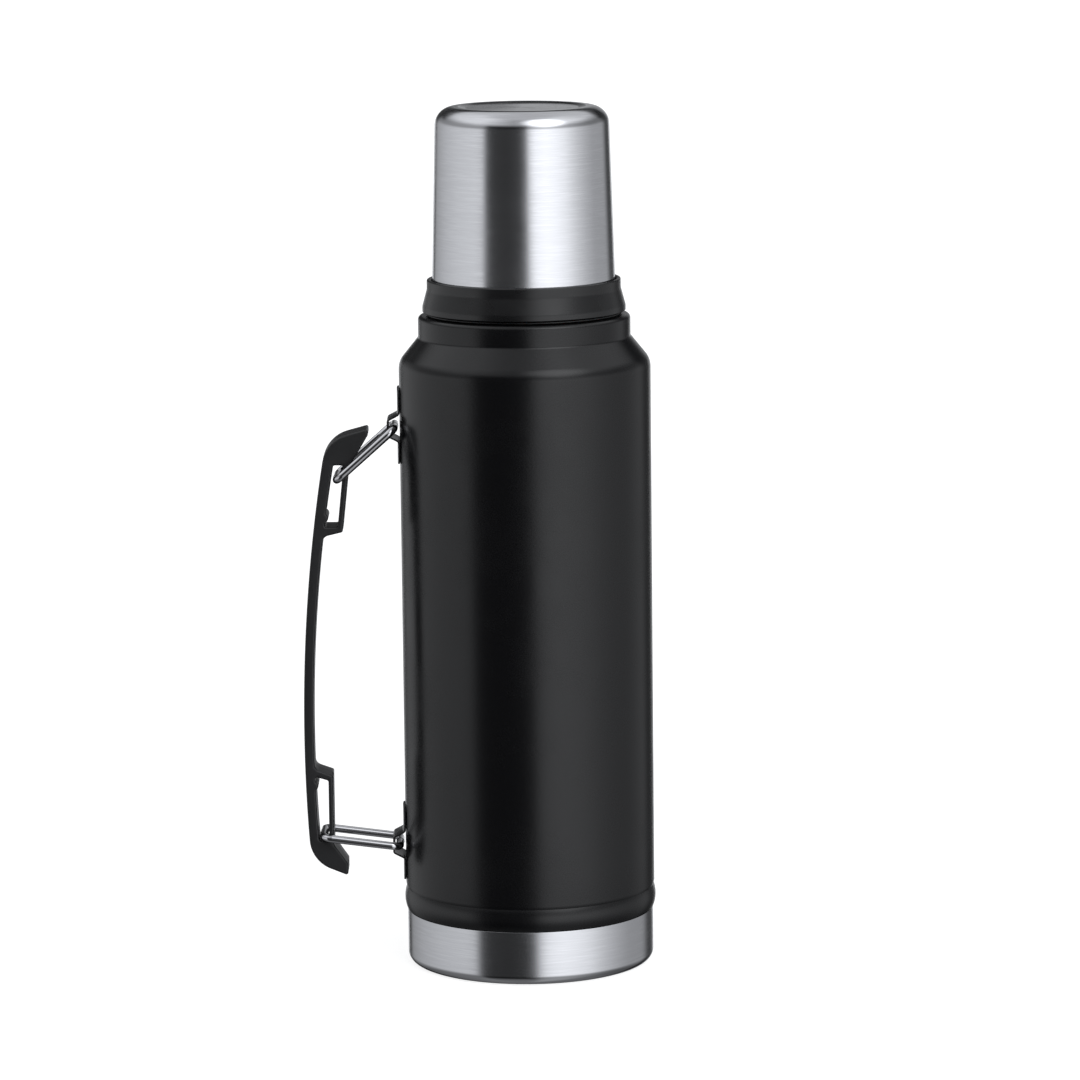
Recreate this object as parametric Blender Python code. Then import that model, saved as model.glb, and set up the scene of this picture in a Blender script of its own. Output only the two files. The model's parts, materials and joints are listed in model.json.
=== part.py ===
"""A double-wall steel vacuum flask: screw-on cup, screw stopper, and a handle hung on two wire links.

Metres, +Z up. The origin is the centre of the underside, on the flask's axis. The handle is on the
-X side. Every turned piece is spun about the Z axis, so its origin lies on the axis it lifts along.
"""

import math

import bmesh
import bpy
from mathutils import Vector

MM = 0.001

# ---- Driving dimensions -------------------------------------------------------------------------

SEGMENTS = 36  # sides of every turned piece
SMALL_SEGMENTS = 16  # and of those a few millimetres across
FIT_GAP = 0.3 * MM  # between two pieces that touch on the real flask
MERGE = 0.001 * MM
SMOOTH_ANGLE = 35  # degrees between faces that still shade as one surface
RIM_ANGLE = 60  # degrees between faces whose edge is rounded off

# Outer shell
BODY_RADIUS = 44.5 * MM
SHELL_WALL = 0.5 * MM
SHOULDER_Z = 216.3 * MM
SHOULDER_ROUND = 7 * MM
CONE_RUN_PER_RISE = 0.807
RING_STEP = 1.64 * MM  # how far the shell's top ring stands out from the collar's foot
RING_HEIGHT = 7.63 * MM
RING_ROUND = 1.5 * MM
NECK_RADIUS = 24.6 * MM
NECK_HEIGHT = 29.4 * MM
BEAD_STEP = 0.44 * MM  # how far the bead stands out from the body
BEAD_HEIGHT = 7.8 * MM
BEAD_ROUND = 10.3 * MM
BEAD_RUN_OUT = 1.2 * MM
SHELL_HEM_GAP = 0.3 * MM

# Base cup, and what closes the shell above it
BASE_STEP = 0.5 * MM  # how far the base cup stands in from the body
BASE_HEIGHT = 19.3 * MM
BASE_WALL = 0.5 * MM
BASE_ROUND = 3.5 * MM
BASE_GROOVE_INNER = 25 * MM
BASE_GROOVE_OUTER = 34 * MM
BASE_GROOVE_DEPTH = 1.2 * MM
PLUG_HEIGHT = 4.4 * MM
PLUG_WALL = 0.6 * MM
PLUG_ROUND = 1.5 * MM
SHELL_FOOT_Z = 4.3 * MM
VENT_RADIUS = 1.5 * MM
VENT_DISH_RADIUS = 7 * MM
VENT_DISH_DEPTH = 1.6 * MM
SEAL_BEAD_RADIUS = 3.2 * MM
SEAL_BEAD_HEIGHT = 1.1 * MM
GETTER_RADIUS = 5 * MM
GETTER_HEIGHT = 2.4 * MM
GETTER_ROUND = 0.5 * MM
GETTER_OFFSET = 22 * MM

# Inner liner and its foil
VACUUM_GAP = 3.5 * MM
LINER_WALL = 0.4 * MM
LINER_FLOOR_GAP = 3 * MM  # between the getter and the liner's floor
LINER_BOTTOM_ROUND = 9 * MM
LINER_SHOULDER_DROP = 4.5 * MM
LINER_SHOULDER_ROUND = 9 * MM
LINER_SHOULDER_SLOPE = 0.8
LINER_NECK_ROUND = 5 * MM
FOIL_THICKNESS = 0.2 * MM
FOIL_RISE = 14 * MM  # from the liner's floor up to the foil
FOIL_DROP = 18.3 * MM  # from the shoulder down to the foil
FOIL_SLIT = 8  # degrees left open where the wrapped foil meets itself

# Neck collar and its gasket
COLLAR_FLARE = 1.66 * MM  # how far the foot stands out from the collar
COLLAR_FOOT_ROUND = 0.3 * MM
COLLAR_HEIGHT = 11.4 * MM
COLLAR_LAND = 1.5 * MM
COLLAR_FLOOR = 7.1 * MM
COLLAR_FLARE_START = 1.9 * MM
COLLAR_FLARE_END = 8 * MM
COLLAR_FLARE_ROUND = 4 * MM
SLEEVE_WALL = 3 * MM
SLEEVE_HEIGHT = 24.7 * MM
GASKET_THICKNESS = 0.7 * MM
GASKET_CLEARANCE = 2.4 * MM  # round the neck
GASKET_INSET = 1.36 * MM  # in from the collar's foot
THREAD_DEPTH = 0.9 * MM
THREAD_HEIGHT = 2 * MM
THREAD_PITCH = 5 * MM
THREAD_TURNS = 1.5
THREAD_ROOT = 0.5 * MM  # how far a rib is sunk into its wall
THREAD_BLUNT = 0.3  # how much of its height a rib starts and ends with
THREAD_RUN_CLEARANCE = 0.5 * MM

# Cup
CUP_THREAD_DEPTH = 1.05 * MM
CUP_RIM_CLEARANCE = 0.35 * MM
CUP_TAPER = 1.85 * MM
CUP_HEIGHT = 64.4 * MM
CUP_WALL = 0.5 * MM
CUP_ROUND = 6.6 * MM
CUP_LINER_WALL = 1.2 * MM
CUP_DISH_RADIUS = 22.5 * MM
CUP_DISH_DEPTH = 0.5 * MM

# Stopper
STOPPER_DEPTH = 46 * MM
STOPPER_THREAD_DEPTH = 1.6 * MM
STOPPER_WALL = 2 * MM
STOPPER_BOTTOM_ROUND = 2 * MM
STOPPER_FLANGE_STEP = 1.2 * MM  # how far the flange stands out from the neck
STOPPER_FLANGE_HEIGHT = 3 * MM
STOPPER_FLANGE_ROUND = 0.5 * MM
STOPPER_KNOB_HEIGHT = 19 * MM
STOPPER_KNOB_TAPER = 2.4 * MM
STOPPER_KNOB_FOOT_ROUND = 1 * MM
STOPPER_KNOB_ROUND = 3 * MM
STOPPER_FLUTES = 12
STOPPER_FLUTE_SIDES = 12
STOPPER_FLUTE_RADIUS = 4 * MM
STOPPER_FLUTE_DEPTH = 1.3 * MM
POUR_SLOT_WIDTH = 7 * MM
POUR_SLOT_HEIGHT = 30 * MM
POUR_SLOT_DEPTH = 1.2 * MM
O_RING_RADIUS = 1.5 * MM
O_RING_RISE = 7 * MM
SEAL_RING_HEIGHT = 1.6 * MM

# Handle brackets on the shell
BRACKET_SIDE_GAP = 1.2 * MM  # to each arm of the link
BRACKET_HEIGHT = 27 * MM
BRACKET_PLATE = 0.6 * MM
BRACKET_STAND_OFF = 0.2 * MM
BRACKET_STRAP = 0.7 * MM
BRACKET_STRAP_FLAT = 5.8 * MM
BRACKET_STRAP_FOOT = 10.2 * MM
BRACKET_RISE = 0.5 * MM  # how far the bracket's middle sits above its pivot
BRACKET_STEPS = 6
UPPER_PIVOT_DROP = 23.1 * MM  # below the shoulder
LOWER_PIVOT_RISE = 19.4 * MM  # above the bead's middle

# Wire links
WIRE_RADIUS = 1.4 * MM
WIRE_SHELL_GAP = 0.5 * MM
WIRE_RUN_CLEARANCE = 0.4 * MM
LINK_LENGTH = 27.3 * MM
LINK_SIDE_GAP = 0.9 * MM  # from each arm to the handle
LINK_BEND = 3 * MM
LOWER_LINK_REST = 7.5  # degrees that the outer end stands above the pivot
UPPER_LINK_REST = -41.4

# Handle
HANDLE_WIDTH = 13.6 * MM
HANDLE_EDGE = 0.7 * MM
GRIP_THICKNESS = 3.5 * MM
GRIP_OUTER_ARC = 600 * MM
GRIP_INNER_ARC = 560 * MM
SLOT_LENGTH = 22 * MM
SLOT_CORNER = 0.6 * MM
SLOT_CATCH = 1 * MM
SLOT_CATCH_HEIGHT = 4 * MM
SLOT_CATCH_OFFSET = 3.3 * MM
SLOT_ROOF_FALL = 1.4 * MM
LOWER_SLOT_CLEARANCE = 0.4 * MM
UPPER_SLOT_CLEARANCE = 0.45 * MM
UPPER_BAND_CLEARANCE = 0.65 * MM
UPPER_SLOT_HEADROOM = 5.05 * MM
UPPER_STRIP_LEAN = 0.1056
UPPER_STRIP = 2 * MM
LOWER_STRIP = 1.8 * MM
BRIDGE = 1.9 * MM
BRIDGE_ROUND = 2.5 * MM
BRIDGE_FALL = 1.6 * MM
UPPER_TIP_REACH = 11.3 * MM
UPPER_TIP_RISE = 18 * MM
UPPER_TIP_FACE = 2.3 * MM
UPPER_TIP_SLOPE = 0.28
CHEEK_DROP = 1 * MM
HOOK_REACH = 8.5 * MM
HOOK_DROP = 14.5 * MM
HOOK_FACE = 4.4 * MM
HOOK_SLOPE = 0.42
HOOK_THROAT = 3.1 * MM
TIP_ROUND = 0.8 * MM
HANDLE_CORNER = 12 * MM

# ---- Sizes that follow from them ----------------------------------------------------------------

BASE_RADIUS = BODY_RADIUS - BASE_STEP
STUB_RADIUS = BASE_RADIUS - BASE_WALL - FIT_GAP
BEAD_RADIUS = BODY_RADIUS + BEAD_STEP
BEAD_Z = BASE_HEIGHT + SHELL_HEM_GAP + BEAD_HEIGHT / 2
PLUG_RADIUS = STUB_RADIUS - SHELL_WALL - FIT_GAP
PLUG_Z = SHELL_FOOT_Z + FIT_GAP + SEAL_BEAD_HEIGHT
GETTER_Z = PLUG_Z + PLUG_WALL + FIT_GAP
LINER_RADIUS = BODY_RADIUS - SHELL_WALL - VACUUM_GAP
LINER_BOTTOM_Z = GETTER_Z + GETTER_HEIGHT + LINER_FLOOR_GAP
LINER_NECK_RADIUS = NECK_RADIUS - SHELL_WALL - FIT_GAP
MOUTH_RADIUS = LINER_NECK_RADIUS - LINER_WALL
SLEEVE_INNER = NECK_RADIUS + FIT_GAP
SLEEVE_RADIUS = SLEEVE_INNER + SLEEVE_WALL
THREAD_CREST = SLEEVE_RADIUS + THREAD_DEPTH
CUP_THREAD_CREST = THREAD_CREST + THREAD_RUN_CLEARANCE
CUP_LINER_BORE = CUP_THREAD_CREST + CUP_THREAD_DEPTH
CUP_RIM_RADIUS = CUP_LINER_BORE + CUP_LINER_WALL + FIT_GAP + CUP_WALL
CUP_TOP_RADIUS = CUP_RIM_RADIUS - CUP_TAPER
COLLAR_RADIUS = CUP_RIM_RADIUS + CUP_RIM_CLEARANCE + COLLAR_LAND
COLLAR_FOOT_RADIUS = COLLAR_RADIUS + COLLAR_FLARE
RING_RADIUS = COLLAR_FOOT_RADIUS + RING_STEP
RING_FOOT_Z = SHOULDER_Z + (BODY_RADIUS - RING_RADIUS) / CONE_RUN_PER_RISE
RING_TOP_Z = RING_FOOT_Z + RING_HEIGHT
NECK_TOP_Z = RING_TOP_Z + NECK_HEIGHT
LIP_Z = NECK_TOP_Z + FIT_GAP
LIP_TOP_Z = LIP_Z + LINER_WALL
GASKET_Z = RING_TOP_Z + FIT_GAP
COLLAR_Z = GASKET_Z + GASKET_THICKNESS + FIT_GAP
COLLAR_TOP_Z = COLLAR_Z + COLLAR_HEIGHT
COLLAR_FLOOR_Z = COLLAR_Z + COLLAR_FLOOR
CUP_RIM_Z = COLLAR_FLOOR_Z + 2 * FIT_GAP
CUP_TOP_Z = CUP_RIM_Z + CUP_HEIGHT
STOPPER_BOTTOM_Z = NECK_TOP_Z - STOPPER_DEPTH
STOPPER_CORE_RADIUS = MOUTH_RADIUS - FIT_GAP - STOPPER_THREAD_DEPTH
STOPPER_FLANGE_RADIUS = NECK_RADIUS + STOPPER_FLANGE_STEP
STOPPER_KNOB_RADIUS = STOPPER_FLANGE_RADIUS - STOPPER_KNOB_TAPER
STOPPER_FLANGE_Z = LIP_TOP_Z + SEAL_RING_HEIGHT + 2 * FIT_GAP
STOPPER_KNOB_Z = STOPPER_FLANGE_Z + STOPPER_FLANGE_HEIGHT + FIT_GAP
O_RING_CENTRE_RADIUS = MOUTH_RADIUS - FIT_GAP - O_RING_RADIUS
O_RING_Z = STOPPER_BOTTOM_Z + O_RING_RISE
PIVOT_X = -(BODY_RADIUS + WIRE_SHELL_GAP + WIRE_RADIUS)
UPPER_PIVOT_Z = SHOULDER_Z - UPPER_PIVOT_DROP
LOWER_PIVOT_Z = BEAD_Z + LOWER_PIVOT_RISE
LINK_WIDTH = HANDLE_WIDTH + 2 * (LINK_SIDE_GAP + WIRE_RADIUS)
BRACKET_WIDTH = LINK_WIDTH - 2 * (WIRE_RADIUS + BRACKET_SIDE_GAP)


def swung(pivot_z, angle):
    """The (x, z) of a link's outer bar: its length from the pivot, angle degrees above level."""
    turn = math.radians(angle)
    return PIVOT_X - LINK_LENGTH * math.cos(turn), pivot_z + LINK_LENGTH * math.sin(turn)


def arc_centre(low, high, radius):
    """The centre, on the +X side, of an arc through two (x, z) points."""
    chord = Vector(high) - Vector(low)
    reach = math.sqrt(radius**2 - chord.length_squared / 4)
    aside = Vector((chord.y, -chord.x)).normalized() * reach
    return tuple((Vector(low) + Vector(high)) / 2 + aside)


LOWER_BAR = swung(LOWER_PIVOT_Z, LOWER_LINK_REST)
UPPER_BAR = swung(UPPER_PIVOT_Z, UPPER_LINK_REST)
GRIP_LOW = (LOWER_BAR[0] - WIRE_RADIUS - LOWER_SLOT_CLEARANCE, LOWER_BAR[1])
GRIP_HIGH = (UPPER_BAR[0] - WIRE_RADIUS - UPPER_BAND_CLEARANCE, UPPER_BAR[1])
GRIP_CENTRE = arc_centre(GRIP_LOW, GRIP_HIGH, GRIP_INNER_ARC)

# ---- Outlines -----------------------------------------------------------------------------------


def arc(centre, radius, start, end, steps):
    """The points of a round stretch, both ends included. Angles are in degrees."""
    turns = [math.radians(start + (end - start) * i / steps) for i in range(steps + 1)]
    return [(centre[0] + radius * math.cos(t), centre[1] + radius * math.sin(t)) for t in turns]


def rounded_corner(before, corner, after, radius, steps):
    """The arc that rounds one corner, or the corner itself when radius is 0."""
    here = Vector(corner)
    back = (Vector(before) - here).normalized()
    ahead = (Vector(after) - here).normalized()
    half = back.angle(ahead) / 2
    if radius == 0:
        return [tuple(here)]
    centre = here + (back + ahead).normalized() * radius / math.sin(half)
    first = here + back * radius / math.tan(half) - centre
    last = here + ahead * radius / math.tan(half) - centre
    sweep = math.pi - 2 * half
    side = 1 if first.x * last.y > first.y * last.x else -1
    start = math.atan2(first.y, first.x)
    turns = [start + side * sweep * i / steps for i in range(steps + 1)]
    return [(centre.x + radius * math.cos(t), centre.y + radius * math.sin(t)) for t in turns]


def rounded(corners, closed=False, steps=2):
    """A line through (x, z, radius) corners. An open line's two ends stay sharp."""
    line = []
    last = len(corners) - 1
    for i, (x, z, radius) in enumerate(corners):
        if not closed and i in (0, last):
            line.append((x, z))
            continue
        before = corners[i - 1][:2]
        after = corners[(i + 1) % len(corners)][:2]
        line += rounded_corner(before, (x, z), after, radius, steps)
    return line


def offset_line(line, distance):
    """The line moved sideways by distance, to the left of its run. An end on the axis stays on it."""
    points = [Vector(p) for p in line]
    normals = []
    for a, b in zip(points, points[1:]):
        along = (b - a).normalized()
        normals.append(Vector((-along.y, along.x)))
    moved = []
    for i, point in enumerate(points):
        first = normals[max(i - 1, 0)]
        second = normals[min(i, len(normals) - 1)]
        step = (first + second) * distance / (1 + first.dot(second))
        if point.x == 0:
            step.x = 0
        moved.append(tuple(point + step))
    return moved


def walled(line, thickness):
    """A closed outline: the line, and the same line one wall thickness to its left."""
    return line + offset_line(line, thickness)[::-1]


# ---- Objects ------------------------------------------------------------------------------------


def clear_scene():
    for obj in list(bpy.data.objects):
        bpy.data.objects.remove(obj, do_unlink=True)


def finish(name, colour, roughness, metallic):
    """A plain Principled material."""
    material = bpy.data.materials.new(name)
    material.use_nodes = True
    shader = material.node_tree.nodes["Principled BSDF"]
    shader.inputs["Base Color"].default_value = (*colour, 1)
    shader.inputs["Roughness"].default_value = roughness
    shader.inputs["Metallic"].default_value = metallic
    return material


def add_object(name, data, material, location=(0, 0, 0)):
    data.materials.append(material)
    obj = bpy.data.objects.new(name, data)
    obj.location = location
    bpy.context.scene.collection.objects.link(obj)
    return obj


def add_mesh(name, shape, material, location=(0, 0, 0)):
    """An object from a bmesh, which is freed. Its shallow edges shade smooth."""
    bmesh.ops.recalc_face_normals(shape, faces=shape.faces)
    mesh = bpy.data.meshes.new(name)
    shape.to_mesh(mesh)
    shape.free()
    mesh.shade_smooth()
    mesh.set_sharp_from_angle(angle=math.radians(SMOOTH_ANGLE))
    return add_object(name, mesh, material, location)


def spun(outline, on_axis=False, segments=SEGMENTS):
    """A bmesh of an (r, z) outline turned about Z. One that is on_axis starts and ends there."""
    shape = bmesh.new()
    verts = [shape.verts.new((r, 0, z)) for r, z in outline]
    edges = [shape.edges.new(pair) for pair in zip(verts, verts[1:])]
    if not on_axis:
        edges.append(shape.edges.new((verts[-1], verts[0])))
    bmesh.ops.spin(shape, geom=verts + edges, axis=(0, 0, 1), angle=math.tau, steps=segments)
    bmesh.ops.remove_doubles(shape, verts=shape.verts, dist=MERGE)
    return shape


def turned(name, outline, material, on_axis=False, segments=SEGMENTS):
    return add_mesh(name, spun(outline, on_axis, segments), material)


def lofted(sections):
    """A bmesh skinned over rings of points, with its two ends closed."""
    shape = bmesh.new()
    rings = [[shape.verts.new(point) for point in section] for section in sections]
    count = len(rings[0])
    for low, high in zip(rings, rings[1:]):
        for k in range(count):
            shape.faces.new((low[k], low[(k + 1) % count], high[(k + 1) % count], high[k]))
    shape.faces.new(rings[0])
    shape.faces.new(rings[-1][::-1])
    return shape


def around(outline, angle, rise=0.0):
    """An (r, z) outline set at an angle about Z, and lifted."""
    turn = math.radians(angle)
    return [(r * math.cos(turn), r * math.sin(turn), z + rise) for r, z in outline]


def hide_cutter(obj):
    obj.hide_render = True
    obj.display_type = "WIRE"


def combine(obj, other, operation):
    """Adds a Boolean, and hides the other object from the build."""
    boolean = obj.modifiers.new(other.name, "BOOLEAN")
    boolean.operation = operation
    boolean.object = other
    hide_cutter(other)


def thread_rib(name, root, crest, start_z, material):
    """A helical rib that swells from nothing and fades again, for a Boolean to join."""
    count = round(SEGMENTS * THREAD_TURNS)
    sections = []
    for i in range(count + 1):
        swell = min(1, THREAD_BLUNT + 5 * i / count, THREAD_BLUNT + 5 * (count - i) / count)
        tip = root + (crest - root) * swell
        outline = [
            (root, -THREAD_HEIGHT / 2), (tip, -THREAD_HEIGHT / 4),
            (tip, THREAD_HEIGHT / 4), (root, THREAD_HEIGHT / 2),
        ]
        rise = start_z + THREAD_PITCH * THREAD_TURNS * i / count
        sections.append(around(outline, 360 * (THREAD_TURNS * i / count + 0.5 / SEGMENTS), rise))
    return add_mesh(name, lofted(sections), material)


# ---- Body ---------------------------------------------------------------------------------------


def shell_line():
    """The painted shell's outside, from its foot inside the base cup up to the mouth."""
    tilt = math.degrees(math.asin(BEAD_HEIGHT / 2 / BEAD_ROUND))
    bead = arc((BEAD_RADIUS - BEAD_ROUND, BEAD_Z), BEAD_ROUND, -tilt, tilt, 4)
    hem_z = BASE_HEIGHT + SHELL_HEM_GAP
    foot = [(STUB_RADIUS, SHELL_FOOT_Z), (STUB_RADIUS, hem_z), (bead[0][0], hem_z)]
    side = rounded([
        (BODY_RADIUS, bead[-1][1] + BEAD_RUN_OUT, 0),
        (BODY_RADIUS, SHOULDER_Z, SHOULDER_ROUND),
        (RING_RADIUS, RING_FOOT_Z, RING_ROUND),
        (RING_RADIUS, RING_TOP_Z, RING_ROUND),
        (NECK_RADIUS, RING_TOP_Z, RING_ROUND),
        (NECK_RADIUS, NECK_TOP_Z, 0),
    ])
    return foot + bead[1:] + side


def build_outer_shell(paint):
    return turned("outer_shell", walled(shell_line(), SHELL_WALL), paint)


def build_base_cup(steel):
    """The bright bottom cup. Its floor stands on a middle disc and an outer ring."""
    groove = BASE_GROOVE_DEPTH
    line = rounded([
        (0, 0, 0),
        (BASE_GROOVE_INNER, 0, 0),
        (BASE_GROOVE_INNER + groove, groove, 0),
        (BASE_GROOVE_OUTER - groove, groove, 0),
        (BASE_GROOVE_OUTER, 0, 0),
        (BASE_RADIUS, 0, BASE_ROUND),
        (BASE_RADIUS, BASE_HEIGHT, 0),
    ], steps=3)
    return turned("base_cup", walled(line, BASE_WALL), steel, on_axis=True)


def build_outer_bottom(steel):
    """The disc welded into the shell's foot, dished round the vent that the seal closes."""
    low = PLUG_Z - VENT_DISH_DEPTH
    line = rounded([
        (VENT_RADIUS, low, 0),
        (VENT_DISH_RADIUS - VENT_DISH_DEPTH, low, 0),
        (VENT_DISH_RADIUS, PLUG_Z, 0),
        (PLUG_RADIUS, PLUG_Z, PLUG_ROUND),
        (PLUG_RADIUS, PLUG_Z + PLUG_HEIGHT, 0),
    ])
    return turned("outer_bottom", walled(line, PLUG_WALL), steel)


def build_vacuum_seal(solder):
    """The solder bead that closes the vent from below, with a nib that stands in it."""
    top = PLUG_Z - VENT_DISH_DEPTH - FIT_GAP
    nib = VENT_RADIUS - FIT_GAP
    line = [
        (0, top + PLUG_WALL), (nib, top + PLUG_WALL), (nib, top), (SEAL_BEAD_RADIUS, top),
        (SEAL_BEAD_RADIUS * 0.8, top - SEAL_BEAD_HEIGHT * 0.7), (0, top - SEAL_BEAD_HEIGHT),
    ]
    return turned("vacuum_seal", line, solder, True, SMALL_SEGMENTS)


def build_getter(solder):
    """The getter pill, on the bottom disc inside the vacuum."""
    top = GETTER_Z + GETTER_HEIGHT
    line = rounded([
        (0, GETTER_Z, 0), (GETTER_RADIUS, GETTER_Z, 0), (GETTER_RADIUS, top, GETTER_ROUND), (0, top, 0),
    ])
    getter = turned("getter", line, solder, True, SMALL_SEGMENTS)
    getter.location.x = GETTER_OFFSET
    return getter


def build_inner_liner(steel):
    """The drinking vessel. Its lip turns out over the shell's neck, where the two are welded."""
    shoulder_z = SHOULDER_Z - LINER_SHOULDER_DROP
    neck_foot_z = shoulder_z + (LINER_RADIUS - LINER_NECK_RADIUS) * LINER_SHOULDER_SLOPE
    line = rounded([
        (0, LINER_BOTTOM_Z, 0),
        (LINER_RADIUS, LINER_BOTTOM_Z, LINER_BOTTOM_ROUND),
        (LINER_RADIUS, shoulder_z, LINER_SHOULDER_ROUND),
        (LINER_NECK_RADIUS, neck_foot_z, LINER_NECK_ROUND),
        (LINER_NECK_RADIUS, LIP_Z, 0),
        (NECK_RADIUS, LIP_Z, 0),
    ])
    return turned("inner_liner", walled(line, LINER_WALL), steel, on_axis=True)


def build_liner_foil(copper):
    """The copper foil wrapped once round the liner, which leaves a narrow slit."""
    inner = LINER_RADIUS + FIT_GAP
    outer = inner + FOIL_THICKNESS
    low = LINER_BOTTOM_Z + FOIL_RISE
    high = SHOULDER_Z - FOIL_DROP
    outline = [(inner, low), (outer, low), (outer, high), (inner, high)]
    steps = SEGMENTS - 2
    turns = [FOIL_SLIT / 2 + (360 - FOIL_SLIT) * i / steps for i in range(steps + 1)]
    return add_mesh("liner_foil", lofted([around(outline, turn) for turn in turns]), copper)


# ---- Neck collar --------------------------------------------------------------------------------


def build_collar_gasket(rubber):
    top = GASKET_Z + GASKET_THICKNESS
    inner = NECK_RADIUS + GASKET_CLEARANCE
    outer = COLLAR_FOOT_RADIUS - GASKET_INSET
    outline = [(inner, GASKET_Z), (outer, GASKET_Z), (outer, top), (inner, top)]
    return turned("collar_gasket", outline, rubber)


def build_neck_collar(plastic):
    """The moulded collar: a flared skirt, a groove for the cup's rim, and a threaded sleeve."""
    land = COLLAR_RADIUS - COLLAR_LAND
    sleeve_top = COLLAR_Z + SLEEVE_HEIGHT
    outline = rounded([
        (SLEEVE_INNER, COLLAR_Z, 0),
        (COLLAR_FOOT_RADIUS, COLLAR_Z, COLLAR_FOOT_ROUND),
        (COLLAR_FOOT_RADIUS, COLLAR_Z + COLLAR_FLARE_START, COLLAR_FLARE_ROUND),
        (COLLAR_RADIUS, COLLAR_Z + COLLAR_FLARE_END, COLLAR_FLARE_ROUND),
        (COLLAR_RADIUS, COLLAR_TOP_Z, COLLAR_LAND / 3),
        (land, COLLAR_TOP_Z, COLLAR_LAND / 3),
        (land, COLLAR_FLOOR_Z, 0),
        (SLEEVE_RADIUS, COLLAR_FLOOR_Z, 0),
        (SLEEVE_RADIUS, sleeve_top, SLEEVE_WALL / 4),
        (SLEEVE_INNER, sleeve_top, 0),
    ], closed=True)
    collar = turned("neck_collar", outline, plastic)
    start = COLLAR_FLOOR_Z + THREAD_HEIGHT + 2 * FIT_GAP
    rib = thread_rib("collar_thread", SLEEVE_RADIUS - THREAD_ROOT, THREAD_CREST, start, plastic)
    combine(collar, rib, "UNION")
    return collar


# ---- Cup ----------------------------------------------------------------------------------------


def cup_line(inset, rim_z, top_z, rim_radius, top_radius, corner):
    """A tapered cup's outside, from the middle of its top down to its rim."""
    dish = min(CUP_DISH_RADIUS, top_radius - inset - corner)
    return rounded([
        (0, top_z - CUP_DISH_DEPTH, 0),
        (dish, top_z, 0),
        (top_radius - inset, top_z, corner),
        (rim_radius - inset, rim_z, 0),
    ], steps=4)


def build_cup_shell(steel):
    line = cup_line(0, CUP_RIM_Z, CUP_TOP_Z, CUP_RIM_RADIUS, CUP_TOP_RADIUS, CUP_ROUND)
    return turned("cup_shell", walled(line, -CUP_WALL), steel, on_axis=True)


def build_cup_liner(plastic):
    """The plastic cup inside the steel one. Its female thread clears the collar's."""
    inset = CUP_WALL + FIT_GAP
    top_z = CUP_TOP_Z - inset
    line = cup_line(inset, CUP_RIM_Z, top_z, CUP_RIM_RADIUS, CUP_TOP_RADIUS, CUP_ROUND - inset)
    liner = turned("cup_liner", walled(line, -CUP_LINER_WALL), plastic, on_axis=True)
    start = COLLAR_FLOOR_Z + THREAD_HEIGHT + THREAD_PITCH / 2 + 2 * FIT_GAP
    rib = thread_rib("cup_thread", CUP_LINER_BORE + THREAD_ROOT, CUP_THREAD_CREST, start, plastic)
    combine(liner, rib, "UNION")
    return liner


# ---- Stopper ------------------------------------------------------------------------------------


def build_stopper_body(plastic):
    """The plug in the mouth: hollow for its foam, grooved for the O-ring, slotted to pour."""
    core = STOPPER_CORE_RADIUS
    groove = O_RING_CENTRE_RADIUS - O_RING_RADIUS - FIT_GAP
    half = O_RING_RADIUS + FIT_GAP
    flange_top = STOPPER_FLANGE_Z + STOPPER_FLANGE_HEIGHT
    outline = rounded([
        (0, STOPPER_BOTTOM_Z, 0),
        (core, STOPPER_BOTTOM_Z, STOPPER_BOTTOM_ROUND),
        (core, O_RING_Z - half, 0),
        (groove, O_RING_Z - half, 0),
        (groove, O_RING_Z + half, 0),
        (core, O_RING_Z + half, 0),
        (core, STOPPER_FLANGE_Z, 0),
        (STOPPER_FLANGE_RADIUS, STOPPER_FLANGE_Z, STOPPER_FLANGE_ROUND),
        (STOPPER_FLANGE_RADIUS, flange_top, STOPPER_FLANGE_ROUND),
        (groove - STOPPER_WALL, flange_top, 0),
        (groove - STOPPER_WALL, STOPPER_BOTTOM_Z + STOPPER_WALL, 0),
        (0, STOPPER_BOTTOM_Z + STOPPER_WALL, 0),
    ])
    body = turned("stopper_body", outline, plastic, on_axis=True)
    start = O_RING_Z + half + POUR_SLOT_HEIGHT / 2
    rib = thread_rib("stopper_thread", core - THREAD_ROOT, MOUTH_RADIUS - FIT_GAP, start, plastic)
    combine(body, rib, "UNION")
    for i, turn in enumerate((0, math.pi)):
        cut_pour_slot(body, i, turn, plastic)
    return body


def cut_pour_slot(body, number, turn, plastic):
    """One of the two shallow channels that the drink runs through when the stopper is loosened."""
    deep = 2 * (MOUTH_RADIUS - STOPPER_CORE_RADIUS + POUR_SLOT_DEPTH)
    shape = bmesh.new()
    bmesh.ops.create_cube(shape, size=1)
    bmesh.ops.scale(shape, vec=(deep, POUR_SLOT_WIDTH, POUR_SLOT_HEIGHT), verts=shape.verts)
    cutter = add_mesh(f"pour_slot_{number}", shape, plastic)
    middle_z = O_RING_Z + O_RING_RADIUS + STOPPER_WALL + POUR_SLOT_HEIGHT / 2
    cutter.location = (MOUTH_RADIUS * math.cos(turn), MOUTH_RADIUS * math.sin(turn), middle_z)
    combine(body, cutter, "DIFFERENCE")


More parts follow.
